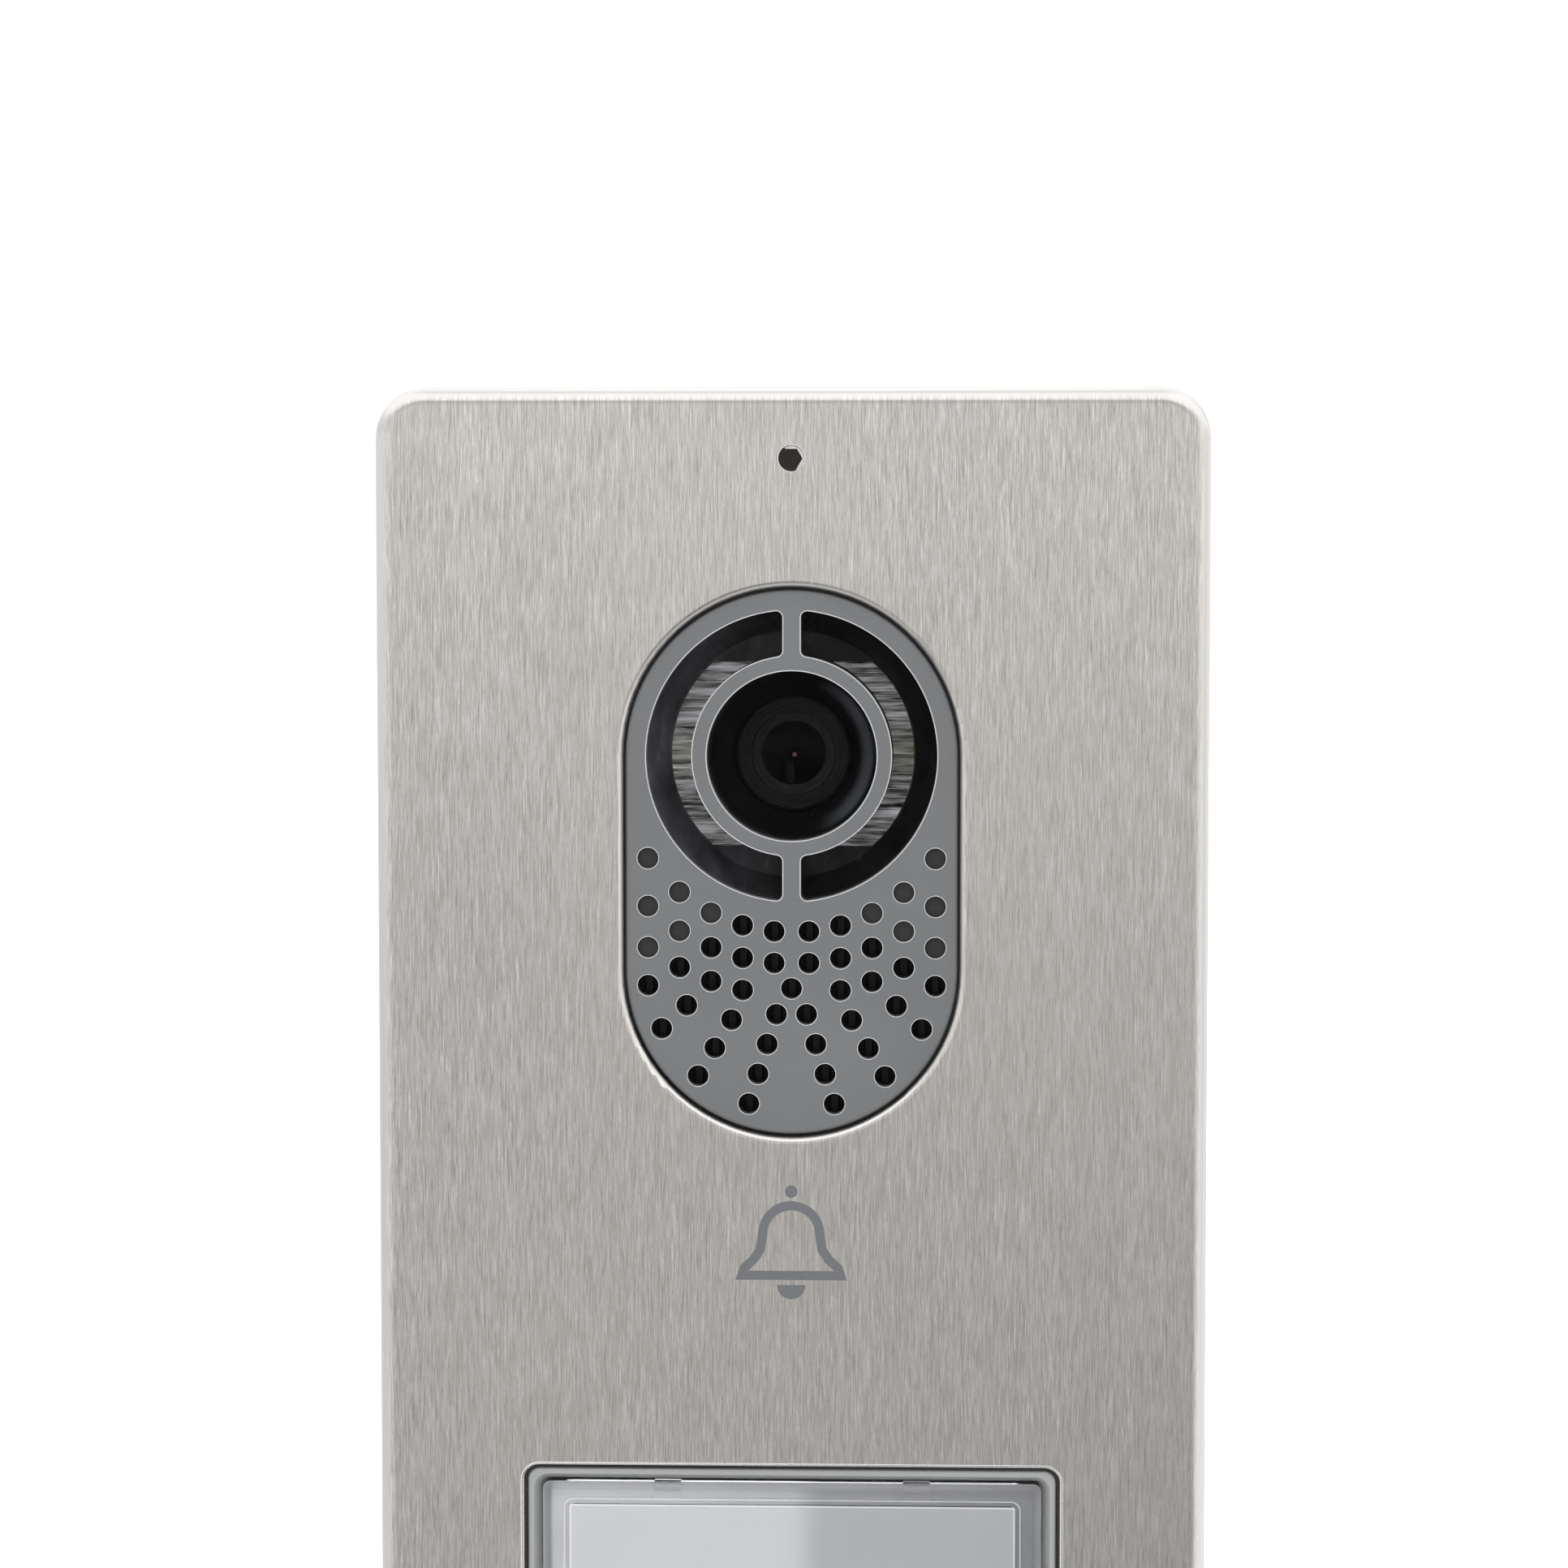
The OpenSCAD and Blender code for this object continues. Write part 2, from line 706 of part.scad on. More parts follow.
terminal_count = 8;
terminal_pitch = 5.08;
terminal_z = -82;
function terminal_x(i) = (i - (terminal_count - 1) / 2) * terminal_pitch;

module terminal_block() {
    rear = 27.6;
    color([0.16, 0.42, 0.24]) difference() {
        slab(board_rear, rear) translate([0, terminal_z])
            square([terminal_count * terminal_pitch, 10], center = true);
        for (i = [0 : terminal_count - 1]) {
            slab(21, 24.4) translate([terminal_x(i), terminal_z - 3]) square([3.4, 6], center = true);
            peg([terminal_x(i), terminal_z], 1.8, 25, rear + 1);
        }
    }
}

module terminal_screws() {
    color("silver") for (i = [0 : terminal_count - 1]) {
        slab(25, 26) translate([terminal_x(i), terminal_z]) circle(1.6);
        slab(26, 27) translate([terminal_x(i), terminal_z]) difference() {
            circle(1.6);
            square([4, 0.6], center = true);
        }
    }
}

module trimmer_bodies() {
    color([0.15, 0.3, 0.6]) for (p = trimmer_places) difference() {
        slab(board_rear, 23.4) translate(p) square(8, center = true);
        peg(p, 3 + run, 22.4, 24);
    }
}

module trimmer_dial(place) {
    color("white") {
        peg(place, 3, 22.4, 23.4);
        slab(23.4, 24.4) translate(place) difference() {
            circle(3);
            square([4.6, 0.9], center = true);
            translate([1.15, 0]) square([2.3, 1.6], center = true);
        }
    }
}

module speaker_volume_dial() trimmer_dial(trimmer_places[0]);

module microphone_volume_dial() trimmer_dial(trimmer_places[1]);

module door_relay() {
    color([0.1, 0.1, 0.11]) slab(board_rear, 28.4) translate([26, 8]) round_rect(13, 19, 0.8);
}

module capacitors() {
    color([0.15, 0.17, 0.3]) for (z = [0, 13]) peg([-27, z], 4, board_rear, 27.8);
}

module processor_chip() {
    color([0.07, 0.07, 0.07]) slab(board_rear, 21) translate([0, 14]) square(14, center = true);
}

// Microphone, which listens through the bottom flange

module upright(r, z0, z1) {
    translate([microphone_x, microphone_d - panel_d, z0]) cylinder(h = z1 - z0, r = r);
}

module microphone_boot() {
    base = microphone_floor;
    color([0.06, 0.06, 0.06]) difference() {
        upright(2.9, base, base + 4.4);
        upright(2.2, base + 1, base + 5);
        upright(1, base - 1, base + 2);
    }
}

module microphone_capsule() {
    base = microphone_floor + 1;
    color("silver") difference() {
        upright(2.15, base, base + 2.4);
        upright(0.7, base - 1, base + 0.6);
    }
}

// Two thin wires rise from the capsule and turn back through the deck to the board
module microphone_lead() {
    wire_r = 0.4;
    bend = 2;
    color([0.7, 0.12, 0.1]) for (x = [microphone_x - 0.45, microphone_x + 0.45]) {
        translate([x, microphone_d - panel_d, microphone_floor + 3.4])
            cylinder(h = lead_z - bend - microphone_floor - 3.4, r = wire_r, $fn = 24);
        translate([x, microphone_d + bend - panel_d, lead_z - bend]) rotate([90, 0, -90])
            rotate_extrude(angle = 90) translate([bend, 0]) circle(wire_r, $fn = 24);
        peg([x, lead_z], wire_r, microphone_d + bend, 14.5, $fn = 24);
    }
}

module microphone_socket() {
    color([0.93, 0.9, 0.82]) slab(14.5, board_front) translate([microphone_x, lead_z])
        square([6, 4], center = true);
}

// Housing and fastening

module rim_gasket() {
    color([0.07, 0.07, 0.07]) slab(chassis_rear, gasket_rear) difference() {
        round_rect(panel_w - 3.8, panel_h - 3.8, 4);
        round_rect(panel_w - 8.2, panel_h - 8.2, 2);
    }
}

module security_screws() {
    head_front = 1.6;
    head_rear = 4.6;
    socket_af = 2.5;
    color("dimgray") for (z = [-screw_z, screw_z]) {
        slab(head_front, 3.2) translate([0, z]) difference() {
            circle(2.75);
            circle(r = socket_af / 2 / cos(30), $fn = 6);
        }
        peg([0, z], 2.75, 3.2, head_rear);
        peg([0, z], 1.5, head_rear, 24);
    }
}

module security_washers() {
    color([0.06, 0.06, 0.06]) for (z = [-screw_z, screw_z])
        slab(4.6, 5.2) translate([0, z]) ring(2.9, 1.5 + run);
}

module threaded_inserts() {
    color("goldenrod") for (z = [-screw_z, screw_z])
        slab(16, 22) translate([0, z]) ring(2.2, 1.5 + run);
}

module cable_grommet() {
    color([0.05, 0.05, 0.05]) turned([0, grommet_z]) polygon([
        [cable_r, floor_front - 1.6], [10, floor_front - 1.6], [11, floor_front],
        [8.9, floor_front], [8.9, floor_front + 1.3], [10.9, floor_front + 1.3],
        [10.9, panel_d - 0.1], [cable_r, panel_d - 0.1]
    ]);
}

// Four walls that carry the chassis, with the wall plate held between them
module housing_frame() {
    color([0.23, 0.235, 0.24]) slab(gasket_rear, panel_d) difference() {
        round_rect(housing_w, housing_h, corner_r - housing_step);
        round_rect(housing_w - 2 * wall_t, housing_h - 2 * wall_t, 3);
    }
}

// Flat moulded plate that is screwed to the wall, with the two posts that the front screws reach
module wall_plate() {
    pocket_pitch = 20;
    pocket_t = 0.8;
    color([0.23, 0.235, 0.24]) difference() {
        union() {
            slab(floor_front, panel_d)
                round_rect(housing_w - 2 * wall_t, housing_h - 2 * wall_t, 3);
            for (z = [-screw_z, screw_z]) peg([0, z], 4.5, 16, floor_front + 0.5);
        }
        for (z = [-screw_z, screw_z]) peg([0, z], 2.2, 15, 25);
        for (x = [-1, 1], z = [-1, 1])
            peg([x * wall_pitch_x / 2, z * wall_pitch_z / 2], wall_hole_r, 28, panel_d + 1);
        peg([0, grommet_z], 8.95, 28, panel_d + 1);
        peg([0, grommet_z], 11, floor_front + 1.3, panel_d + 1);
        slab(panel_d - pocket_t, panel_d + 1) for (x = [-27, 27], i = [-3 : 3])
            translate([x, pocket_pitch * i]) round_rect(26, 16, 1.5);
    }
}

front_plate();
stud_nuts();
camera_grille();
speaker_baffle();
acoustic_mesh();
lens_window();
camera_shroud();
led_diffuser_left();
led_diffuser_right();
camera_leds();
led_ring_board();
camera_bracket();
bracket_screws();
lens_barrel();
lens_front_glass();
lens_rear_glass();
lens_holder();
image_sensor();
sensor_board();
camera_screws();
ribbon_cable();
ribbon_connectors();
speaker_gasket();
speaker_basket();
speaker_cone();
speaker_magnet();
speaker_contacts();
chassis();
key_frame();
key_diffuser();
name_card();
card_cover();
return_springs();
switch_body();
switch_plunger();
card_leds();
main_board();
board_screws();
terminal_block();
terminal_screws();
trimmer_bodies();
speaker_volume_dial();
microphone_volume_dial();
door_relay();
capacitors();
processor_chip();
microphone_boot();
microphone_capsule();
microphone_lead();
microphone_socket();
rim_gasket();
security_screws();
security_washers();
threaded_inserts();
cable_grommet();
housing_frame();
wall_plate();
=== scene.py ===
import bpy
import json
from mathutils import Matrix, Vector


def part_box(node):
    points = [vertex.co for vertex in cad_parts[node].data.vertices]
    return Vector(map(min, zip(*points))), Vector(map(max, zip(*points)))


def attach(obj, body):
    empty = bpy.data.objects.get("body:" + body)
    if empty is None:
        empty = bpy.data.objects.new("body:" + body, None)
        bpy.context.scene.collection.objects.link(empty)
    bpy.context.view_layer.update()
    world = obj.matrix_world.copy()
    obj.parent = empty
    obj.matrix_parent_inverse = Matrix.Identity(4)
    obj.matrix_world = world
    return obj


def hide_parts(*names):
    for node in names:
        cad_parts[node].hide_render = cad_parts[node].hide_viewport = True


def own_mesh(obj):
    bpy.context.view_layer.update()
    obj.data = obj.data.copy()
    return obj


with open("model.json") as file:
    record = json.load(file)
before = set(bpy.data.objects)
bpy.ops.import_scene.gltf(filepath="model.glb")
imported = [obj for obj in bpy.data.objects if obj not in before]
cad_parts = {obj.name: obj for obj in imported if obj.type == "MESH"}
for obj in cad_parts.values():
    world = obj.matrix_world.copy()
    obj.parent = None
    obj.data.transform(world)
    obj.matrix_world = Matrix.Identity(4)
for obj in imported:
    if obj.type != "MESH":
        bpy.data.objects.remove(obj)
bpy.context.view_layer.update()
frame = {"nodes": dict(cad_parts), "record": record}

import json
import math

import bmesh
import bpy
from mathutils import Vector

MM = 0.001
NODES = frame["nodes"]
SCENE = bpy.context.scene


# ---------------------------------------------------------------- places, from the frame

def middle(node):
    low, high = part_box(node)
    return (low + high) / 2


PLATE_LOW, PLATE_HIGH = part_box("front_plate")
FACE = PLATE_LOW.y
LENS = middle("lens_window")
KEY = middle("name_card")


def at(x, depth, z):
    """A point given in millimetres: x, depth behind the steel face, and z."""
    return Vector((x * MM, FACE + depth * MM, z * MM))


# ---------------------------------------------------------------- camera, floor and light

CAMERA_LENS = 89.85
CAMERA_DISTANCE = 0.464
CAMERA_YAW = math.radians(2.0)
CAMERA_PITCH = math.radians(3.35)
AIM = Vector((-0.00086, FACE, PLATE_HIGH.z - 0.0469))


def make_camera():
    data = bpy.data.cameras.new("Camera")
    data.lens = CAMERA_LENS
    data.sensor_width = 36
    data.clip_start = 0.01
    camera = bpy.data.objects.new("Camera", data)
    SCENE.collection.objects.link(camera)
    away = Vector((
        math.sin(CAMERA_YAW) * math.cos(CAMERA_PITCH),
        -math.cos(CAMERA_YAW) * math.cos(CAMERA_PITCH),
        math.sin(CAMERA_PITCH),
    ))
    camera.location = AIM + away * CAMERA_DISTANCE
    camera.rotation_euler = (-away).to_track_quat("-Z", "Y").to_euler()
    SCENE.camera = camera


def make_floor():
    bpy.ops.mesh.primitive_plane_add(size=12, location=(0, 0, PLATE_LOW.z - 0.0005))
    floor = bpy.context.object
    floor.name = "Floor"
    floor.visible_glossy = False
    floor.visible_transmission = False
    paint = Recipe("floor_white")
    paint.set(base_color=(0.93, 0.93, 0.93), roughness=0.9)
    floor.data.materials.append(paint.material)


def make_world():
    """White to the camera. What the panel lights and reflects is a studio that depends on direction:
    bright above and beside, dimmer in front, with the dark of the camera's own lens facing the panel
    and one strip of light low on the left."""
    world = bpy.data.worlds.new("Studio")
    world.use_nodes = True
    SCENE.world = world
    tree = world.node_tree
    tree.nodes.clear()

    def node(kind, **settings):
        made = tree.nodes.new(kind)
        for name, value in settings.items():
            setattr(made, name, value)
        return made

    def ramp(source, start, end, low, high):
        made = node("ShaderNodeMapRange", interpolation_type="SMOOTHSTEP")
        made.inputs["From Min"].default_value = start
        made.inputs["From Max"].default_value = end
        made.inputs["To Min"].default_value = low
        made.inputs["To Max"].default_value = high
        tree.links.new(source, made.inputs["Value"])
        return made.outputs["Result"]

    def math_node(operation, a, b=None):
        made = node("ShaderNodeMath", operation=operation)
        for socket, value in zip(made.inputs, (a, b)):
            if value is None:
                continue
            if isinstance(value, (int, float)):
                socket.default_value = value
            else:
                tree.links.new(value, socket)
        return made.outputs[0]

    def product(*factors):
        result = factors[0]
        for factor in factors[1:]:
            result = math_node("MULTIPLY", result, factor)
        return result

    def largest(*values):
        result = values[0]
        for value in values[1:]:
            result = math_node("MAXIMUM", result, value)
        return result

    direction = node("ShaderNodeTexCoord").outputs["Generated"]
    split = node("ShaderNodeSeparateXYZ")
    tree.links.new(direction, split.inputs[0])
    x, y, z = split.outputs
    off_x = math_node("ADD", x, 0.033)
    off_z = math_node("ADD", z, 0.045)
    reach = math_node("SQRT", math_node("ADD", product(off_x, off_x), product(off_z, off_z)))
    beside_lens = ramp(reach, 0.045, 0.10, 0.03, 1.0)
    front = product(ramp(x, -0.30, 0.15, 0.85, 0.68), ramp(z, -0.32, 0.06, 0.06, 1.54))
    front = product(front, beside_lens, ramp(z, 0.10, 0.22, 1.0, 0.55))
    strip_of_light = product(ramp(x, -0.033, -0.024, 1.75, 0.0), ramp(x, -0.16, -0.10, 0.0, 1.0),
                             ramp(z, -0.19, -0.15, 1.0, 0.0), ramp(z, -0.55, -0.40, 0.0, 1.0))
    above = product(ramp(z, 0.40, 0.50, 0.0, 1.7), ramp(z, 0.95, 0.99, 1.0, 0.6))
    left_side = product(ramp(x, -0.45, -0.14, 1.15, 0.0), ramp(x, -0.99, -0.95, 0.6, 1.0))
    right_side = product(ramp(x, 0.42, 0.75, 0.0, 1.6), ramp(x, 0.95, 0.99, 1.0, 0.45))
    behind = ramp(y, -0.1, 0.2, 0.0, 0.75)
    level = math_node("ADD", largest(front, above, left_side, right_side, behind), strip_of_light)
    below = ramp(z, -0.72, -0.52, 0.8, 0.0)
    level = math_node("MAXIMUM", product(level, ramp(z, -0.75, -0.3, 0.3, 1.0)), below)

    seen = node("ShaderNodeLightPath").outputs["Is Camera Ray"]
    chosen = node("ShaderNodeMix", data_type="FLOAT")
    tree.links.new(seen, chosen.inputs[0])
    tree.links.new(level, chosen.inputs[2])
    chosen.inputs[3].default_value = 1.05
    background = node("ShaderNodeBackground")
    background.inputs["Color"].default_value = (1, 1, 1, 1)
    tree.links.new(chosen.outputs[0], background.inputs["Strength"])
    output = node("ShaderNodeOutputWorld")
    tree.links.new(background.outputs[0], output.inputs[0])


def area_light(name, location, target, size, power):
    data = bpy.data.lights.new(name, "AREA")
    data.shape = "RECTANGLE"
    data.size, data.size_y = size
    data.energy = power
    light = bpy.data.objects.new(name, data)
    SCENE.collection.objects.link(light)
    light.location = location
    light.rotation_euler = (Vector(target) - Vector(location)).to_track_quat("-Z", "Y").to_euler()
    light.visible_camera = False
    light.visible_glossy = False


def make_lights():
    area_light("Overhead", (0.1, -0.55, 0.95), (0, 0, 0), (0.9, 0.5), 2.5)
    area_light("Left", (-0.9, -0.5, 0.2), (0, 0, 0), (0.5, 0.9), 1.0)
    area_light("Rear", (0.5, 1.1, 0.7), (0, 0, 0), (0.8, 0.8), 6)


# ---------------------------------------------------------------- materials

class Recipe:
    """One procedural material: patterns measured in millimetres feed a Principled shader."""

    def __init__(self, name):
        self.material = bpy.data.materials.new(name)
        self.material.use_nodes = True
        self.tree = self.material.node_tree
        self.shader = self.tree.nodes["Principled BSDF"]
        self.object_place = self.node("ShaderNodeTexCoord").outputs["Object"]

    def node(self, kind, **settings):
        made = self.tree.nodes.new(kind)
        for name, value in settings.items():
            setattr(made, name, value)
        return made

    def feed(self, socket, value):
        if isinstance(value, (int, float, tuple)):
            if isinstance(value, tuple) and len(value) == 3 and socket.type == "RGBA":
                value = (*value, 1)
            socket.default_value = value
        else:
            self.tree.links.new(value, socket)

    def set(self, **values):
        for name, value in values.items():
            self.feed(self.shader.inputs[SOCKETS[name]], value)
        return self

    def axes(self, vector):
        split = self.node("ShaderNodeSeparateXYZ")
        self.feed(split.inputs[0], vector)
        return split.outputs

    def away_from(self, value, centre):
        """How far a coordinate is from a value, on either side."""
        return self.math("ABSOLUTE", self.math("ADD", value, -centre))

    def stretched(self, size, shift=0):
        """Object coordinates where one unit along each axis is that size in millimetres."""
        mapping = self.node("ShaderNodeMapping")
        mapping.inputs["Scale"].default_value = [1 / (MM * s) for s in size]
        mapping.inputs["Location"].default_value = [shift, shift * 1.7, shift * 2.3]
        self.feed(mapping.inputs["Vector"], self.object_place)
        return mapping.outputs[0]

    def noise(self, size, detail=3, roughness=0.55, shift=0):
        made = self.node("ShaderNodeTexNoise")
        self.feed(made.inputs["Vector"], self.stretched(size, shift))
        made.inputs["Scale"].default_value = 1
        made.inputs["Detail"].default_value = detail
        made.inputs["Roughness"].default_value = roughness
        return made.outputs["Fac"]

    def ranged(self, value, start, end, low, high, smooth=False):
        kind = "SMOOTHSTEP" if smooth else "LINEAR"
        made = self.node("ShaderNodeMapRange", interpolation_type=kind)
        for socket, number in zip(made.inputs[1:5], (start, end, low, high)):
            socket.default_value = number
        self.feed(made.inputs[0], value)
        return made.outputs[0]

    def math(self, operation, a, b=0.0):
        made = self.node("ShaderNodeMath", operation=operation)
        self.feed(made.inputs[0], a)
        self.feed(made.inputs[1], b)
        return made.outputs[0]

    def mixed(self, amount, a, b):
        made = self.node("ShaderNodeMix", data_type="RGBA")
        self.feed(made.inputs[0], amount)
        self.feed(made.inputs[6], a)
        self.feed(made.inputs[7], b)
        return made.outputs[2]

    def bump(self, height, strength, distance_mm):
        made = self.node("ShaderNodeBump")
        made.inputs["Strength"].default_value = strength
        made.inputs["Distance"].default_value = distance_mm * MM
        self.feed(made.inputs["Height"], height)
        self.set(normal=made.outputs[0])
        return self


SOCKETS = {
    "base_color": "Base Color", "metallic": "Metallic", "roughness": "Roughness", "ior": "IOR",
    "alpha": "Alpha", "normal": "Normal", "transmission": "Transmission Weight",
    "coat": "Coat Weight", "coat_roughness": "Coat Roughness", "specular": "Specular IOR Level",
    "anisotropy": "Anisotropic", "sheen": "Sheen Weight", "tangent": "Tangent",
    "emission": "Emission Color", "glow": "Emission Strength",
    "subsurface": "Subsurface Weight", "subsurface_scale": "Subsurface Scale",
}


def shade(colour, factor):
    return tuple(min(1, c * factor) for c in colour)


def moulded(name, colour, roughness=0.5, grain=0.25, depth=0.02, spread=0.08, **extra):
    """A moulded plastic: faint cloudy tone, and a fine eroded grain that also varies the gloss."""
    made = Recipe(name)
    cloud = made.noise((18, 18, 18), 4)
    fine = made.noise((grain, grain, grain), 2, shift=3)
    clouded = made.ranged(cloud, 0.3, 0.7, 0, 1)
    tone = made.mixed(clouded, shade(colour, 1 - spread), shade(colour, 1 + spread))
    tone = made.mixed(made.ranged(fine, 0.35, 0.65, 0, 0.16), tone, shade(colour, 0.72))
    gloss = made.ranged(fine, 0.3, 0.7, roughness - 0.06, roughness + 0.08)
    made.set(base_color=tone, roughness=gloss, **extra)
    made.bump(fine, 0.4, depth)
    return made.material


def turned_metal(name, colour, roughness=0.3, line=0.12, depth=0.006):
    """A machined or plated metal with fine tool lines across its depth and a few darker patches."""
    made = Recipe(name)
    lines = made.noise((line * 6, line, line * 6), 2)
    patches = made.noise((3, 3, 3), 4, shift=5)
    tone = made.mixed(made.ranged(patches, 0.35, 0.7, 0, 1), colour, shade(colour, 0.72))
    gloss = made.ranged(lines, 0.3, 0.7, roughness - 0.07, roughness + 0.12)
    made.set(base_color=tone, metallic=1.0, roughness=gloss)
    made.bump(lines, 0.4, depth)
    return made.material


def brushed_steel():
    """Stainless sheet brushed along Z: short overlapping hairs, and tone that drifts in long bands.
    The rolled edges are smoother than the flat."""
    made = Recipe("brushed_steel")
    hair = made.noise((0.085, 0.9, 2.2), 3, 0.7)
    stroke = made.noise((0.17, 2, 6), 3, 0.6, shift=7)
    band = made.noise((1.8, 6, 38), 3, 0.5, shift=13)
    drift = made.noise((26, 26, 70), 2, shift=21)
    facing = made.axes(made.node("ShaderNodeTexCoord").outputs["Normal"])
    on_flat = made.ranged(made.math("ABSOLUTE", facing[1]), 0.80, 0.99, 0.12, 1.0)
    worn = made.math("ADD", made.math("MULTIPLY", hair, 0.6), made.math("MULTIPLY", stroke, 0.4))
    relief = made.math("ADD", 0.5, made.math("MULTIPLY", made.math("ADD", worn, -0.5), on_flat))
    light = made.ranged(relief, 0.36, 0.64, 0, 1)
    tone = made.mixed(light, (0.33, 0.31, 0.29), (0.80, 0.78, 0.755))
    tone = made.mixed(made.ranged(relief, 0.59, 0.70, 0, 0.9), tone, (0.97, 0.96, 0.94))
    tone = made.mixed(made.ranged(band, 0.35, 0.65, 0, 0.2), tone, (0.46, 0.44, 0.42))
    tone = made.mixed(made.ranged(drift, 0.35, 0.65, 0, 0.14), tone, (0.68, 0.63, 0.59))
    tone = made.mixed(made.ranged(on_flat, 0.12, 1.0, 0.7, 0.0), tone, (0.62, 0.61, 0.60))
    tangent = made.node("ShaderNodeTangent", direction_type="RADIAL", axis="Z")
    made.set(base_color=tone, metallic=1.0, anisotropy=0.8, tangent=tangent.outputs[0],
             roughness=made.ranged(relief, 0.35, 0.65, 0.40, 0.27))
    made.bump(relief, 0.4, 0.02)
    return made.material


def polished_edge():
    """The edge of a punched hole or a rolled opening, brighter than the brushed face round it."""
    made = Recipe("steel_edge")
    marks = made.noise((0.2, 0.2, 0.2), 3)
    tone = made.mixed(marks, (0.70, 0.69, 0.68), (0.92, 0.91, 0.90))
    made.set(base_color=tone, metallic=1.0, roughness=made.ranged(marks, 0.3, 0.7, 0.15, 0.3))
    return made.material


def clear_plastic():
    """Clear acrylic with a little haze."""
    made = Recipe("clear_plastic")
    haze = made.noise((6, 6, 6), 5)
    tone = made.mixed(haze, (0.93, 0.94, 0.96), (0.98, 0.985, 0.99))
    made.set(base_color=tone, transmission=1.0, ior=1.49,
             roughness=made.ranged(haze, 0.3, 0.8, 0.0, 0.03))
    return made.material


def paper_card():
    """Blank white card under a glossy laminate."""
    made = Recipe("card")
    fibre = made.noise((0.5, 0.5, 0.12), 4)
    tone = made.mixed(fibre, (0.82, 0.825, 0.84), (0.87, 0.875, 0.885))
    made.set(base_color=tone, roughness=0.6, coat=1.0, coat_roughness=0.06)
    return made.material


def dark_glass(name, low, high, ior):
    """Coated glass: nearly black, with a faint tint that wanders a little."""
    made = Recipe(name)
    smear = made.noise((1.6, 1.6, 1.6), 3)
    tone = made.mixed(made.ranged(smear, 0.3, 0.7, 0, 1), low, high)
    made.set(base_color=tone, roughness=0.05, ior=ior)
    return made.material


def black_gloss_painted_sheen():
    """Glossy black inside the camera. A grey haze lies outside the lens, partly dust and partly a painted
    sheen that is thicker on the left, and a paler crescent just inside the right of the lens hole is a
    painted reflection."""
    made = Recipe("black_gloss")
    haze = made.noise((5, 5, 9), 4, 0.6)
    place = made.axes(made.object_place)
    across = made.math("ADD", place[0], -LENS.x)
    up = made.math("ADD", place[2], -LENS.z)
    squares = made.math("ADD", made.math("MULTIPLY", across, across), made.math("MULTIPLY", up, up))
    radius = made.math("SQRT", squares)
    # Painted sheen: the haze is painted lighter towards the left of the lens.
    left = made.ranged(across, -17 * MM, 4 * MM, 0.75, 0.08, smooth=True)
    outside = made.ranged(radius, 9.5 * MM, 11.5 * MM, 0.12, 1.0)
    dust_and_painted_sheen = made.math("MULTIPLY", left, outside)
    dust_and_painted_sheen = made.math("MULTIPLY", made.ranged(haze, 0.3, 0.75, 0.25, 1.0), dust_and_painted_sheen)
    # Painted reflection: a paler crescent just inside the right of the lens hole.
    worn = made.math("MULTIPLY", made.ranged(radius, 7.8 * MM, 9 * MM, 0.0, 1.0, smooth=True),
                     made.ranged(radius, 9.3 * MM, 10 * MM, 1.0, 0.0, smooth=True))
    worn = made.math("MULTIPLY", worn, made.ranged(across, 2 * MM, 7.5 * MM, 0.0, 1.0, smooth=True))
    tone = made.mixed(dust_and_painted_sheen, (0.003, 0.003, 0.003), (0.27, 0.265, 0.29))
    made.set(base_color=made.mixed(worn, tone, (0.11, 0.115, 0.13)),
             roughness=made.ranged(haze, 0.3, 0.7, 0.12, 0.3), specular=0.2)
    return made.material


def light_guide():
    """Acrylic in level layers: dark bands of painted shade, grey ones and white bands of painted reflection
    alternate, yellowed a little at the middle, and all of it gives off a faint painted glow.
    """
    made = Recipe("light_guide")
    layer = made.noise((9, 9, 0.7), 3, 0.7)
    fine = made.noise((5, 5, 0.14), 2, shift=4)
    both = made.math("ADD", made.math("MULTIPLY", layer, 0.65), made.math("MULTIPLY", fine, 0.35))
    # Painted shade and painted reflection: the dark and the white bands of the layers.
    tone = made.mixed(made.ranged(both, 0.40, 0.47, 0, 1), (0.015, 0.015, 0.015), (0.34, 0.335, 0.33))
    tone = made.mixed(made.ranged(both, 0.49, 0.58, 0, 1), tone, (0.95, 0.95, 0.96))
    up = made.axes(made.object_place)[2]
    near_middle = made.ranged(made.away_from(up, LENS.z), 1 * MM, 4 * MM, 0.6, 0)
    yellowed = made.mixed(made.ranged(both, 0.40, 0.60, 0, 1), (0.03, 0.03, 0.012), (0.42, 0.40, 0.2))
    tone = made.mixed(near_middle, tone, yellowed)
    # Painted glow: the guide faintly emits its own tone, though its lamp is unlit.
    made.set(base_color=tone, emission=tone, glow=0.06, roughness=0.2, ior=1.45,
             coat=0.4, coat_roughness=0.05)
    made.bump(fine, 0.3, 0.02)
    return made.material


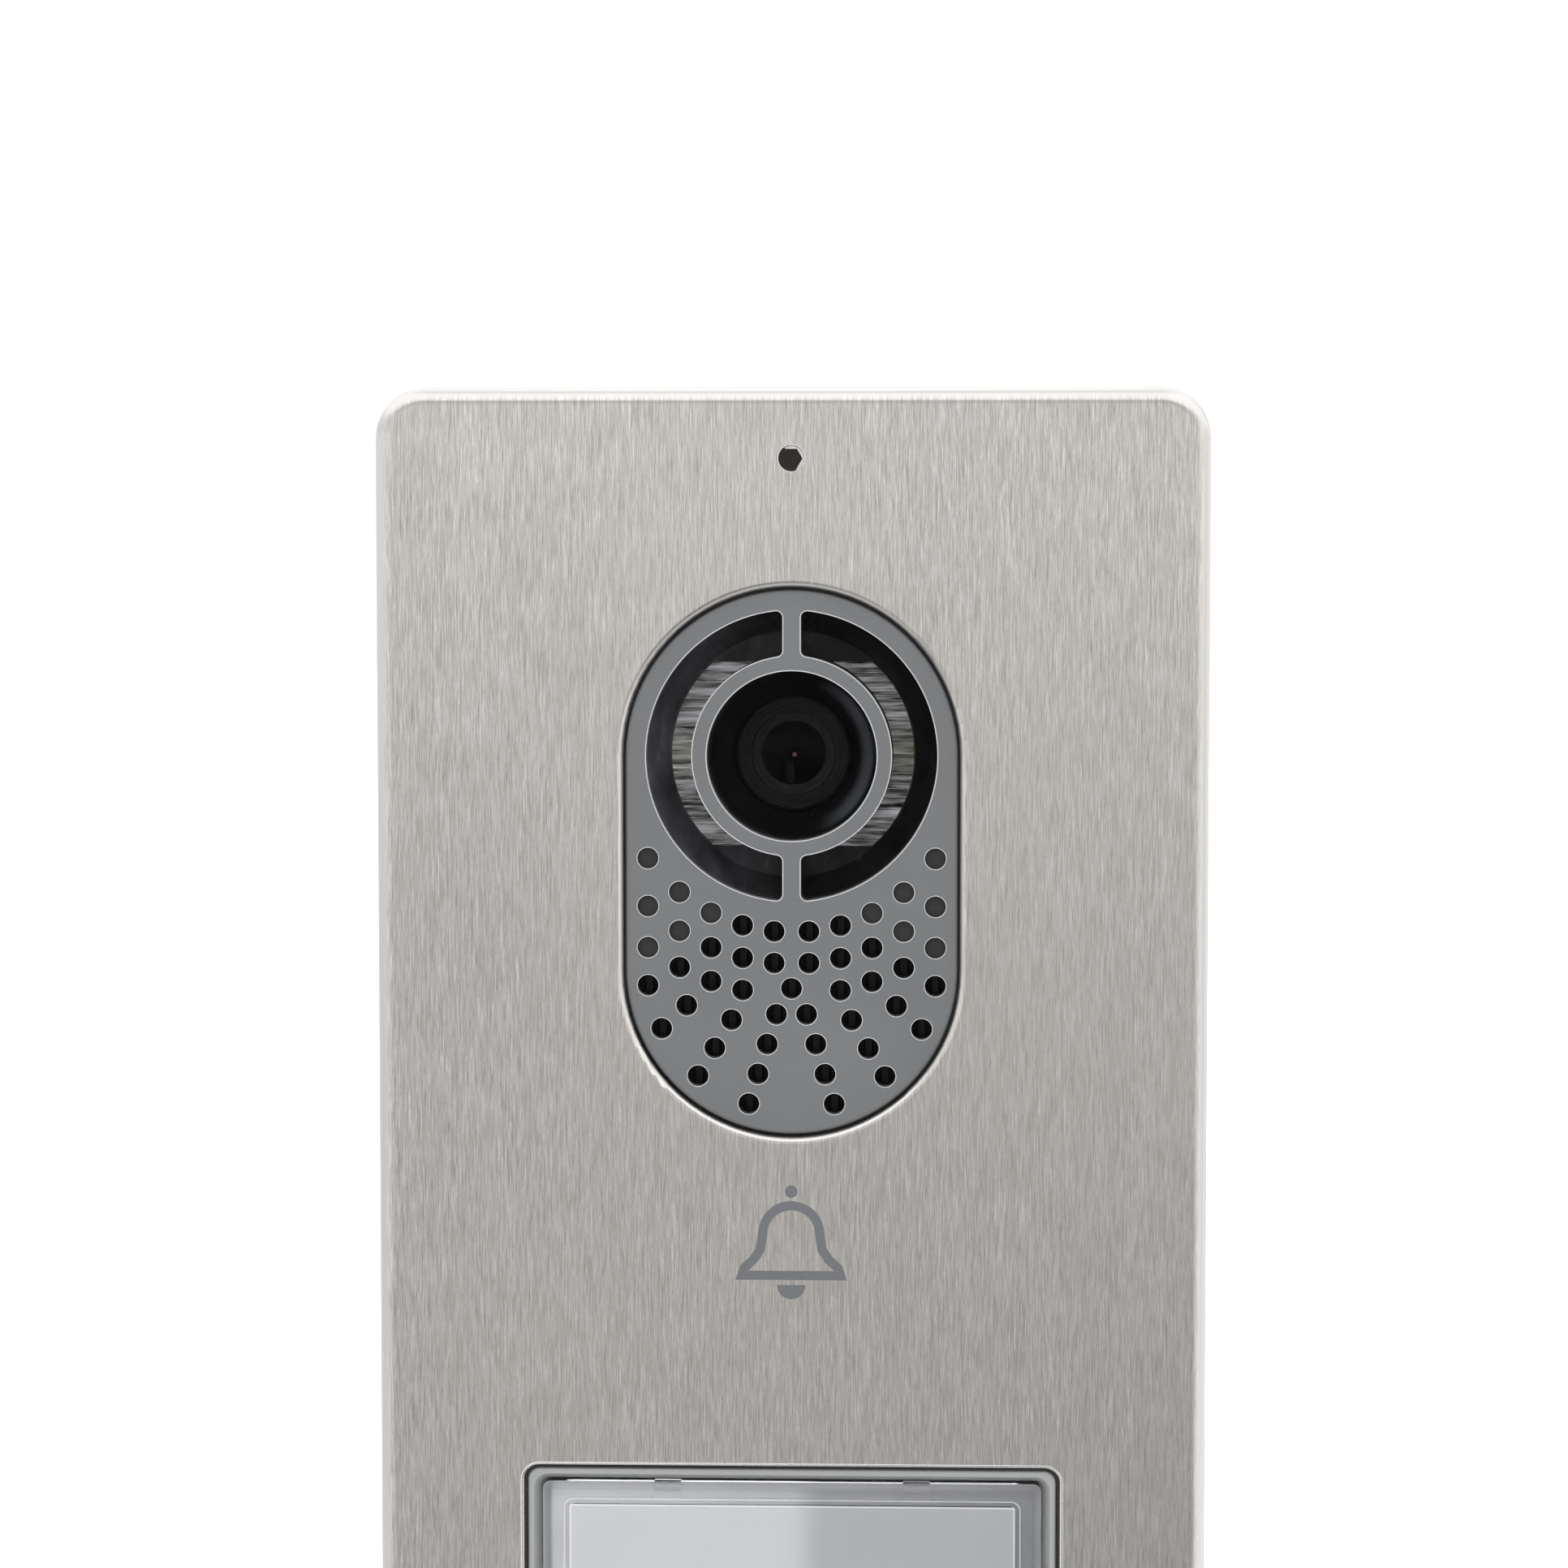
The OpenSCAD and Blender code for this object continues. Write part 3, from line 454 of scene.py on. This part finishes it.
def key_plastic():
    """The key's grey moulding. Under the clear cover it is painted paler, a painted reflection of the studio
    in the cover, and paler still on the left, where that painted reflection is brightest.
    """
    made = Recipe("key_plastic")
    low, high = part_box("card_cover")
    cloud = made.noise((18, 18, 18), 4)
    fine = made.noise((0.25, 0.25, 0.25), 2, shift=3)
    place = made.axes(made.object_place)
    past_side = made.math("ADD", made.away_from(place[0], KEY.x), (low.x - high.x) / 2)
    past_end = made.math("ADD", made.away_from(place[2], KEY.z), (low.z - high.z) / 2)
    # Painted reflection: under the cover the grey is painted paler, most of all on the left.
    painted_reflection_mask = made.ranged(made.math("MAXIMUM", past_side, past_end), -1.2 * MM, -0.3 * MM, 1, 0)
    to_right = made.ranged(place[0], -22 * MM, 30 * MM, 0, 1)
    pale = made.mixed(to_right, (0.88, 0.88, 0.90), (0.50, 0.50, 0.52))
    tone = made.mixed(painted_reflection_mask, (0.285, 0.29, 0.292), pale)
    tone = made.mixed(made.ranged(cloud, 0.3, 0.7, 0, 0.12), tone, (0.20, 0.20, 0.205))
    made.set(base_color=tone, roughness=made.ranged(fine, 0.3, 0.7, 0.36, 0.5))
    made.bump(fine, 0.4, 0.005)
    return made.material


def light_rim():
    """The thin bright line where a moulded edge catches the light."""
    made = Recipe("rim")
    grain = made.noise((0.4, 0.4, 0.4), 3)
    made.set(base_color=made.mixed(grain, (0.33, 0.335, 0.35), (0.50, 0.505, 0.52)), roughness=0.35)
    return made.material


def printed_ink():
    """Blue-grey ink on the steel."""
    made = Recipe("print")
    grain = made.noise((0.3, 0.3, 0.3), 3)
    made.set(base_color=made.mixed(grain, (0.088, 0.093, 0.10), (0.120, 0.126, 0.133)), roughness=0.45)
    made.bump(grain, 0.3, 0.01)
    return made.material


def circuit_board():
    """Green lacquer over paler copper tracks."""
    made = Recipe("circuit_board")
    cell = made.node("ShaderNodeTexVoronoi", distance="MANHATTAN", feature="F2")
    made.feed(cell.inputs["Vector"], made.stretched((7, 7, 7), 4))
    cell.inputs["Scale"].default_value = 1
    on_track = made.ranged(made.math("PINGPONG", cell.outputs["Distance"], 0.12), 0.045, 0.06, 0, 1)
    speck = made.noise((2, 2, 2), 4)
    green = made.mixed(speck, (0.012, 0.11, 0.045), (0.018, 0.15, 0.06))
    tone = made.mixed(on_track, green, (0.03, 0.22, 0.09))
    made.set(base_color=tone, roughness=0.32, coat=0.4, coat_roughness=0.15)
    made.bump(on_track, 0.3, 0.03)
    return made.material


def phosphor():
    """The yellow face of an unlit white lamp."""
    made = Recipe("led")
    grain = made.noise((0.3, 0.3, 0.3), 3)
    made.set(base_color=made.mixed(grain, (0.75, 0.62, 0.16), (0.88, 0.76, 0.3)), roughness=0.3)
    made.bump(grain, 0.3, 0.02)
    return made.material


def woven_mesh():
    """Black woven cloth."""
    made = Recipe("cloth_mesh")
    wave = made.node("ShaderNodeTexWave", bands_direction="DIAGONAL")
    made.feed(wave.inputs["Vector"], made.stretched((0.5, 0.5, 0.5)))
    wave.inputs["Scale"].default_value = 1
    weave = wave.outputs["Fac"]
    made.set(base_color=made.mixed(weave, (0.008, 0.008, 0.008), (0.035, 0.035, 0.037)), roughness=0.8)
    made.bump(weave, 0.6, 0.05)
    return made.material


def make_materials():
    return {
        "brushed_steel": brushed_steel(),
        "grille_plastic": moulded("grille_plastic", (0.125, 0.128, 0.131), 0.5, 0.25, 0.005, 0.05,
                                  specular=0.35),
        "key_plastic": key_plastic(),
        "clear_plastic": clear_plastic(),
        "card": paper_card(),
        "white_diffuser": moulded("white_diffuser", (0.72, 0.74, 0.70), 0.35, 0.5, 0.01, 0.05),
        "black_plastic": moulded("black_plastic", (0.007, 0.007, 0.0075), 0.35, 0.3, 0.004, 0.2,
                                 specular=0.2),
        "black_gloss": black_gloss_painted_sheen(),
        "lens_glass": dark_glass("lens_glass", (0.0012, 0.001, 0.0018), (0.003, 0.0018, 0.004), 1.12),
        "housing_plastic": moulded("housing_plastic", (0.042, 0.043, 0.045), 0.55, 0.35, 0.04, 0.12),
        "rubber": moulded("rubber", (0.012, 0.012, 0.012), 0.7, 0.5, 0.03, 0.2),
        "screw_steel": turned_metal("screw_steel", (0.62, 0.62, 0.6), 0.28),
        "dark_steel": turned_metal("dark_steel", (0.42, 0.40, 0.38), 0.3),
        "brass": turned_metal("brass", (0.72, 0.52, 0.22), 0.28),
        "circuit_board": circuit_board(),
        "white_board": moulded("white_board", (0.68, 0.70, 0.67), 0.4, 0.6, 0.01, 0.06),
        "led": phosphor(),
        "green_plastic": moulded("green_plastic", (0.02, 0.16, 0.055), 0.35, 0.4, 0.015),
        "ivory_plastic": moulded("ivory_plastic", (0.72, 0.66, 0.5), 0.4, 0.4, 0.015),
        "blue_plastic": moulded("blue_plastic", (0.018, 0.07, 0.30), 0.3, 0.4, 0.015),
        "red_plastic": moulded("red_plastic", (0.45, 0.02, 0.012), 0.35, 0.4, 0.015),
        "paper_cone": moulded("paper_cone", (0.012, 0.012, 0.012), 0.5, 0.4, 0.03, 0.2),
        "cloth_mesh": woven_mesh(),
        "lens_coating": dark_glass("lens_coating", (0.020, 0.006, 0.022), (0.012, 0.005, 0.022), 1.35),
        # Painted reflection: the pink glint in the lens is given a pink glass colour, not a nearly black one.
        "pink_glint": dark_glass("pink_glint", (0.30, 0.12, 0.17), (0.22, 0.10, 0.16), 1.3),
        "light_guide": light_guide(),
        "print": printed_ink(),
        "rim": light_rim(),
        "steel_edge": polished_edge(),
        # Painted shadow: a very dark metal for the shade down in the screw sockets.
        "painted_socket_shadow": turned_metal("painted_socket_shadow", (0.055, 0.048, 0.042), 0.35),
        "ring_black": moulded("ring_black", (0.017, 0.017, 0.017), 0.5, 0.3, 0.004, 0.2, specular=0.2),
        "hole_floor": moulded("hole_floor", (0.017, 0.0175, 0.018), 0.5, 0.3, 0.01, 0.15),
        # Painted highlight: the card edge material glows, for the card's cut edge and the step line round it.
        "card_edge": moulded("card_edge", (0.96, 0.96, 0.97), 0.4, 0.3, 0.002, 0.03,
                             emission=(0.9, 0.9, 0.95), glow=0.2),
    }


def finish_cad_nodes(materials):
    for row in frame["record"]["subparts"]:
        node = NODES[row["node"]]
        node.data.materials.clear()
        node.data.materials.append(materials[row["material_slot"]])


# ---------------------------------------------------------------- mesh tools


def piece(name, slot, body, *replaced):
    """Makes an empty mesh object that rides on a body and stands for the CAD nodes named."""
    made = bpy.data.objects.new(name, bpy.data.meshes.new(name))
    SCENE.collection.objects.link(made)
    made.data.materials.append(MATERIALS[slot])
    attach(made, body)
    if replaced:
        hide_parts(*replaced)
    return made


def fill(target, form, smooth_below=35):
    """Puts a bmesh in a piece, smooth except where its faces meet at more than that angle."""
    bmesh.ops.remove_doubles(form, verts=form.verts, dist=1e-7)
    bmesh.ops.recalc_face_normals(form, faces=form.faces)
    for face in form.faces:
        face.smooth = True
    form.to_mesh(target.data)
    form.free()
    target.data.set_sharp_from_angle(angle=math.radians(smooth_below))
    return target


def arc(x, z, radius, start, end, steps):
    """Points on an arc, from one angle to another in degrees, both ends included."""
    angles = [math.radians(start + (end - start) * i / steps) for i in range(steps + 1)]
    return [(x + radius * math.cos(angle), z + radius * math.sin(angle)) for angle in angles]


def revolve(form, profile, x, z, steps=128, closed=True):
    """Turns a profile of (radius, depth) in millimetres about the axis that runs back from (x, z)."""
    turns = [2 * math.pi * i / steps for i in range(steps)]
    rings = []
    for radius, depth in profile:
        if radius == 0:
            rings.append([form.verts.new(at(x, depth, z))])
            continue
        rings.append([form.verts.new(at(x + radius * math.cos(turn), depth, z + radius * math.sin(turn)))
                      for turn in turns])
    following = rings[1:] + rings[:1] if closed else rings[1:]
    for a, b in zip(rings, following):
        for i in range(steps):
            j = (i + 1) % steps
            corners = [a[i % len(a)], a[j % len(a)], b[j % len(b)], b[i % len(b)]]
            corners = [c for k, c in enumerate(corners) if c not in corners[:k]]
            if len(corners) > 2:
                form.faces.new(corners)


def prism(form, front, back, front_depth, back_depth):
    """A solid between two outlines with the same number of points, each (x, z) in millimetres."""
    near = [form.verts.new(at(x, front_depth, z)) for x, z in front]
    far = [form.verts.new(at(x, back_depth, z)) for x, z in back]
    form.faces.new(near)
    form.faces.new(far[::-1])
    for i in range(len(near)):
        j = (i + 1) % len(near)
        form.faces.new([near[j], near[i], far[i], far[j]])


def sweep(form, points, profile, closed=True):
    """Carries a closed profile of (across, depth) along points, with mitred corners.
    Across is to the right of the way it goes. Points on top of the one before are left out."""
    points = [p for i, p in enumerate(points) if math.dist(p, points[i - 1]) > 1e-4]
    count = len(points)
    loops = []
    for i, (x, z) in enumerate(points):
        here = Vector((x, z))
        runs = []
        if i > 0 or closed:
            runs.append((here - Vector(points[i - 1])).normalized())
        if i < count - 1 or closed:
            runs.append((Vector(points[(i + 1) % count]) - here).normalized())
        run = sum(runs, Vector((0, 0))).normalized()
        stretch = 1 / max(0.4, run.dot(runs[0]))
        loops.append([form.verts.new(at(x + run.y * across * stretch, depth, z - run.x * across * stretch))
                      for across, depth in profile])
    steps = len(profile)
    for i in range(count if closed else count - 1):
        near, far = loops[i], loops[(i + 1) % count]
        for k in range(steps):
            n = (k + 1) % steps
            form.faces.new([near[k], near[n], far[n], far[k]])
    if not closed:
        form.faces.new(loops[0])
        form.faces.new(loops[-1][::-1])


def flat(width, front, rear):
    """The profile of a flat stroke."""
    return [(-width / 2, front), (width / 2, front), (width / 2, rear), (-width / 2, rear)]


def bead(inner, outer, face, proud):
    """The profile of a fine rounded ridge on a face, between two distances across."""
    steps = 6
    centre = (inner + outer) / 2
    half = (outer - inner) / 2
    turns = [math.pi * i / steps for i in range(steps + 1)]
    ridge = [(centre - half * math.cos(turn), face - proud * math.sin(turn)) for turn in turns]
    return ridge + [(outer, face + proud), (inner, face + proud)]


def rounded_rectangle(width, height, radius, x=0, z=0, steps=10):
    """An outline, counter-clockwise seen from the front, from the upper right corner."""
    reach_x = width / 2 - radius
    reach_z = height / 2 - radius
    points = []
    for sx, sz, start in [(1, 1, 0), (-1, 1, 90), (-1, -1, 180), (1, -1, 270)]:
        points += arc(x + sx * reach_x, z + sz * reach_z, radius, start, start + 90, steps)
    return points


# ---------------------------------------------------------------- pieces

LENS_X = LENS.x / MM
LENS_Z = LENS.z / MM
BORE_R = 2.0
FRONT_ELEMENT_R = 4.95


def lens_barrel_ring():
    """The barrel's front: a matte retaining ring with fine grooves, and stepped baffles inside it."""
    low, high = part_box("lens_barrel")
    front = (low.y - FACE) / MM
    rear = (high.y - FACE) / MM
    outer = (high.x - low.x) / 2 / MM
    ring = piece("lens_ring", "ring_black", "panel", "lens_barrel")
    form = bmesh.new()
    profile = [(outer, rear), (outer, front + 0.5), (outer - 0.25, front + 0.1), (outer - 0.45, front)]
    for i in range(5):
        r = outer - 0.5 - i * 0.26
        profile += [(r, front), (r - 0.05, front + 0.07), (r - 0.13, front + 0.07), (r - 0.18, front)]
    seat_and_steps = [
        (5.15, 0), (4.95, 0.3), (4.95, 0.55), (4.6, 0.6), (4.55, 1.1), (3.9, 1.15), (3.8, 1.7),
        (3.2, 1.75), (3.1, 2.3), (2.5, 2.35), (2.4, 2.9), (BORE_R, 2.95),
    ]
    profile += [(radius, front + depth) for radius, depth in seat_and_steps]
    profile += [(BORE_R, rear - 0.4), (BORE_R + 0.4, rear)]
    revolve(form, profile, LENS_X, LENS_Z)
    return fill(ring, form, 20)


def dome(form, radius, edge_depth, rise, x, z, thickness=0.3, steps=14, around=96):
    """A lens: a spherical cap that rises towards the front, with a flat rim behind it."""
    sphere = (radius ** 2 + rise ** 2) / (2 * rise)
    profile = []
    for i in range(steps + 1):
        r = radius * i / steps
        profile.append((r, edge_depth - (math.sqrt(sphere ** 2 - r ** 2) - (sphere - rise))))
    profile += [(radius, edge_depth + thickness), (0, edge_depth + thickness)]
    revolve(form, profile, x, z, around, closed=False)


def lens_glasses():
    """The two glass elements that show: a wide one in the ring's seat, and a small one in the bore."""
    front = (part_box("lens_front_glass")[0].y - FACE) / MM
    outer = piece("lens_front_element", "lens_glass", "panel", "lens_front_glass")
    form = bmesh.new()
    dome(form, FRONT_ELEMENT_R, front + 0.9, 0.7, LENS_X, LENS_Z)
    fill(outer, form)
    inner = piece("lens_inner_element", "lens_coating", "panel", "lens_rear_glass")
    form = bmesh.new()
    dome(form, BORE_R, front + 3.1, 0.55, LENS_X, LENS_Z, 0.5)
    return fill(inner, form)


def light_guides():
    """Each light guide is a stack of level ribs of uneven height, each tilted a little its own way."""
    low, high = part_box("led_diffuser_right")
    top = (high.z - LENS.z) / MM
    outer = (high.x - LENS.x) / MM
    inner = 12.05
    front = (low.y - FACE) / MM
    back = (high.y - FACE) / MM
    for side, name in ((-1, "led_diffuser_left"), (1, "led_diffuser_right")):
        guide = piece("light_guide_" + name.split("_")[-1], "light_guide", "panel", name)
        form = bmesh.new()
        z = -top
        count = 0
        while z < top - 0.05:
            wave = math.sin(count * 2.399 + side * 0.7)
            height = min(0.62 + 0.3 * wave + 0.18 * math.sin(count * 5.1), top - z)
            slope = 0.16 * math.sin(count * 3.7 + side)
            steps = 3
            for k in range(steps):
                z0 = z + height * k / steps
                z1 = z + height * (k + 1) / steps
                x0, x1 = [math.sqrt(max(inner ** 2 - v ** 2, 1)) for v in (z0, z1)]
                x2, x3 = [math.sqrt(outer ** 2 - v ** 2) for v in (z0, z1)]
                near = [front + 0.22 - slope * (2 * t / steps - 1) + 0.1 * wave for t in (k, k + 1)]
                corners = [(x0, z0, near[0]), (x2, z0, near[0]), (x3, z1, near[1]), (x1, z1, near[1])]
                faces = [form.verts.new(at(LENS_X + side * x, d, LENS_Z + v)) for x, v, d in corners]
                rears = [form.verts.new(at(LENS_X + side * x, back, LENS_Z + v)) for x, v, _ in corners]
                form.faces.new(faces)
                form.faces.new(rears[::-1])
                for i in range(4):
                    j = (i + 1) % 4
                    form.faces.new([faces[j], faces[i], rears[i], rears[j]])
            z += height
            count += 1
        fill(guide, form, 12)


def bell_mark():
    """A plain bell pictogram, printed on the steel between the grille and the key."""
    mark = piece("bell_mark", "print", "panel")
    form = bmesh.new()
    base, stroke, thin = 1.3, 1.1, 0.015
    crown = arc(0, base + 5.0, 3.4, 180, 0, 24)
    left = [(-5.9, base), (-5.6, base + 0.9), (-4.5, base + 1.9), (-3.7, base + 3.1)]
    right = [(-x, z) for x, z in reversed(left)]
    sweep(form, left + crown + right, flat(stroke, -thin, thin))
    clapper = arc(0, base - 1.15, 1.7, 180, 360, 20)
    prism(form, clapper, clapper, -thin, thin)
    knob = arc(0, base + 10.1, 0.75, 0, 345, 23)
    prism(form, knob, knob, -thin, thin)
    return fill(mark, form)


GRILLE_FACE = (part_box("camera_grille")[0].y - FACE) / MM
HOLE_R = 1.25
LENS_HOLE_R = 10.1
WINDOW_OUTER_R = 17.3
WINDOW_INNER_R = 11.95
WINDOW_CORNER_R = 0.75
SPOKE_HALF = 1.1
FIRST_ARC_R = 21
HOLE_PITCH = 3.76
COLUMN_0 = 2.07


def on_arc(column, row):
    """A place in one of the upright columns, on one of the arcs about the lens."""
    return arc_place(COLUMN_0 + column * HOLE_PITCH, row)


def arc_place(x, row):
    return x, -math.sqrt((FIRST_ARC_R + row * HOLE_PITCH) ** 2 - x * x)


def sound_holes():
    """The places of the grille's holes, from the lens: columns that end on arcs, then a fan below them."""
    rows = [2, 3, 3, 3, 4]
    places = [on_arc(column, row) for column in range(5) for row in range(rows[column])]
    places += [arc_place(7.16 + 2 * i, 3 + i) for i in range(3)]
    places += [arc_place(12.5 + 3 * i, 3 + i) for i in range(2)]
    places += [(1.8 + 1.1 * i, -30.8 - 3.58 * i) for i in range(4)]
    return [(side * x, z) for x, z in places for side in (-1, 1)] + [(0, -27.7)]


def window_outline(side):
    """One side window of the grille: two long arcs joined by rounded corners, from its lower end up."""
    corner = WINDOW_CORNER_R
    x = SPOKE_HALF + corner
    outer_z = math.sqrt((WINDOW_OUTER_R - corner) ** 2 - x * x)
    inner_z = math.sqrt((WINDOW_INNER_R + corner) ** 2 - x * x)
    outer_end = math.degrees(math.atan2(outer_z, x))
    inner_end = math.degrees(math.atan2(inner_z, x))
    points = arc(0, 0, WINDOW_OUTER_R, -outer_end, outer_end, 60)
    points += arc(x, outer_z, corner, outer_end, 180, 8)
    points += arc(x, inner_z, corner, 180, 180 + inner_end, 8)
    points += arc(0, 0, WINDOW_INNER_R, inner_end, -inner_end, 60)
    points += arc(x, -inner_z, corner, 180 - inner_end, 180, 8)
    points += arc(x, -outer_z, corner, 180, 360 - outer_end, 8)
    points = [(LENS_X + side * px, LENS_Z + pz) for px, pz in points]
    return points if side > 0 else points[::-1]


def grille_rims():
    """The fine light lines round the grille's windows, lens hole and sound holes."""
    rims = piece("grille_rims", "rim", "panel")
    form = bmesh.new()
    clear, wide, narrow, proud = 0.01, 0.14, 0.11, 0.03
    for side in (-1, 1):
        sweep(form, window_outline(side), bead(clear, wide, GRILLE_FACE, proud))
    revolve(form, bead(LENS_HOLE_R + clear, LENS_HOLE_R + wide, GRILLE_FACE, proud), LENS_X, LENS_Z)
    hole_rim = bead(HOLE_R + clear, HOLE_R + narrow, GRILLE_FACE, proud)
    for x, z in sound_holes():
        revolve(form, hole_rim, LENS_X + x, LENS_Z + z, 40)
    return fill(rims, form, 60)


def blind_hole_floors():
    """The holes nearest the camera are only hollows: each has a floor."""
    floors = piece("blind_hole_floors", "hole_floor", "panel")
    form = bmesh.new()
    for side in (-1, 1):
        for column in (2, 3, 4):
            for row in range(column - 1):
                x, z = on_arc(column, row)
                disc = arc(LENS_X + side * x, LENS_Z + z, HOLE_R, 0, 350, 35)
                prism(form, disc, disc, GRILLE_FACE + 0.7, GRILLE_FACE + 0.9)
    return fill(floors, form)


def key_holes():
    """The two holes that the hexagon key goes through: a burnished edge, and a dark piece behind it, shaped
    as the hexagon socket on the right and the hole's rim on the left.
    That dark piece is painted shadow, and it hides all but the upper and right parts of a bright washer face."""
    low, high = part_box("security_screws")
    edges = piece("key_hole_edges", "steel_edge", "panel")
    socket_shadows = piece("key_sockets", "painted_socket_shadow", "panel")
    bright = bmesh.new()
    dark = bmesh.new()
    head_r, disc_r, hexagon_r, edge_r = 2.75, 1.5, 1.3, 1.56
    for z in (low.z / MM + head_r, high.z / MM - head_r):
        revolve(bright, bead(edge_r, edge_r + 0.1, 0.01, 0.03), 0, z, 48)
        disc = arc(0, z, disc_r, 0, 350, 35)
        prism(bright, disc, disc, 0.45, 0.6)
        # Painted shadow: a dark crescent and hexagon in front of the washer face.
        socket = arc(0, z, disc_r, 125, 290, 30) + arc(0, z, hexagon_r, 300, 480, 3)
        prism(dark, socket, socket, 0.35, 0.4)
    fill(edges, bright, 40)
    return fill(socket_shadows, dark, 40)


def lens_pink_glint():
    """A pink speck just behind the front glass: a painted reflection of light in the lens coating."""
    speck = piece("lens_pink_glint", "pink_glint", "panel")
    form = bmesh.new()
    front = (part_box("lens_front_glass")[0].y - FACE) / MM - 0.02
    dome(form, 0.28, front + 0.22, 0.08, LENS_X + 0.1, LENS_Z - 0.2, 0.05, 5, 24)
    return fill(speck, form)


KEY_X = KEY.x / MM
KEY_Z = KEY.z / MM


def card_edges():
    """The cut white edge of the name card and a line on the step round it, both white with a painted glow as
    their highlight, and the moulding mark on the key's frame.
    """
    low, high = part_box("name_card")
    front = (low.y - FACE) / MM
    edge = piece("name_card_edge", "card_edge", "call_key")
    form = bmesh.new()
    width = (high.x - low.x) / MM
    height = (high.z - low.z) / MM
    outline = rounded_rectangle(width, height, 0.1, KEY_X, KEY_Z, 3)
    sweep(form, outline[::-1], bead(-0.2, 0.03, front, 0.05))
    # Painted highlight: a white glowing line on the step round the card.
    step = rounded_rectangle(width + 1.6, height + 1.7, 1.1, KEY_X, KEY_Z, 8)
    sweep(form, step[::-1], bead(-0.06, 0.06, front, 0.05))
    fill(edge, form, 60)
    low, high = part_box("key_frame")
    mark = piece("key_gate_mark", "key_plastic", "call_key")
    form = bmesh.new()
    mark_x = 22.9
    mark_z = high.z / MM - 0.75
    revolve(form, bead(0.16, 0.28, (low.y - FACE) / MM, 0.02), mark_x, mark_z, 32)
    return fill(mark, form, 60)


KEY_FLANGE = 1.4
KEY_GAP = 0.3
KEY_CORNER_R = 1.5


def key_opening():
    """The bright roll of the steel round the key, and a dark rubber strip down in the gap that is painted
    shade.
    """
    low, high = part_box("key_frame")
    width = (high.x - low.x) / MM - 2 * KEY_FLANGE
    height = (high.z - low.z) / MM - 2 * KEY_FLANGE
    roll = piece("key_opening_roll", "steel_edge", "panel")
    form = bmesh.new()
    opening = rounded_rectangle(width + 2 * KEY_GAP, height + 2 * KEY_GAP, KEY_CORNER_R + KEY_GAP,
                                KEY_X, KEY_Z)
    sweep(form, opening, bead(0.15, 0.5, 0.03, 0.05))
    fill(roll, form, 60)
    # Painted shade: a dark strip that darkens the gap round the key.
    painted_shade = piece("key_gap_painted_shade", "rubber", "panel")
    form = bmesh.new()
    outline = rounded_rectangle(width, height, KEY_CORNER_R, KEY_X, KEY_Z)
    inner, outer, near, far = 0.02, KEY_GAP - 0.01, 0.35, 0.8
    sweep(form, outline, [(inner, near), (outer, near), (outer, far), (inner, far)])
    return fill(painted_shade, form, 60)


def key_springs():
    """The four springs behind the key."""
    low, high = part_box("return_springs")
    wire = 0.3
    mean = 2.4
    turns, around, sides = 5, 28, 8
    springs = piece("key_springs", "screw_steel", "panel", "return_springs")
    form = bmesh.new()
    centre = (low + high) / 2
    reach_x = (high.x - low.x) / 2 / MM - mean - wire
    reach_z = (high.z - low.z) / 2 / MM - mean - wire
    front = (low.y - FACE) / MM
    back = (high.y - FACE) / MM
    total = turns * around

    def wind(x, z):
        """One coil, whose end turns lie closer together than its middle ones."""
        previous = None
        for i in range(total + 1):
            t = i / total
            rise = front + wire + (back - front - 2 * wire) * (t * t * (3 - 2 * t) * 0.25 + t * 0.75)
            angle = 2 * math.pi * i / around
            loop = []
            for k in range(sides):
                tilt = 2 * math.pi * k / sides
                radius = mean + wire * math.cos(tilt)
                depth = rise + wire * math.sin(tilt)
                place = at(x + radius * math.cos(angle), depth, z + radius * math.sin(angle))
                loop.append(form.verts.new(place))
            if previous:
                for k in range(sides):
                    n = (k + 1) % sides
                    form.faces.new([previous[k], previous[n], loop[n], loop[k]])
            else:
                form.faces.new(loop)
            previous = loop
        form.faces.new(previous[::-1])

    for sx in (-1, 1):
        for sz in (-1, 1):
            wind(centre.x / MM + sx * reach_x, centre.z / MM + sz * reach_z)
    fill(springs, form, 60)
    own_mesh(springs)


# ---------------------------------------------------------------- build

make_camera()
make_floor()
make_world()
make_lights()
MATERIALS = make_materials()
finish_cad_nodes(MATERIALS)
lens_barrel_ring()
lens_glasses()
light_guides()
lens_pink_glint()
bell_mark()
grille_rims()
blind_hole_floors()
key_holes()
card_edges()
key_opening()
key_springs()
SCENE.view_settings.view_transform = "Standard"
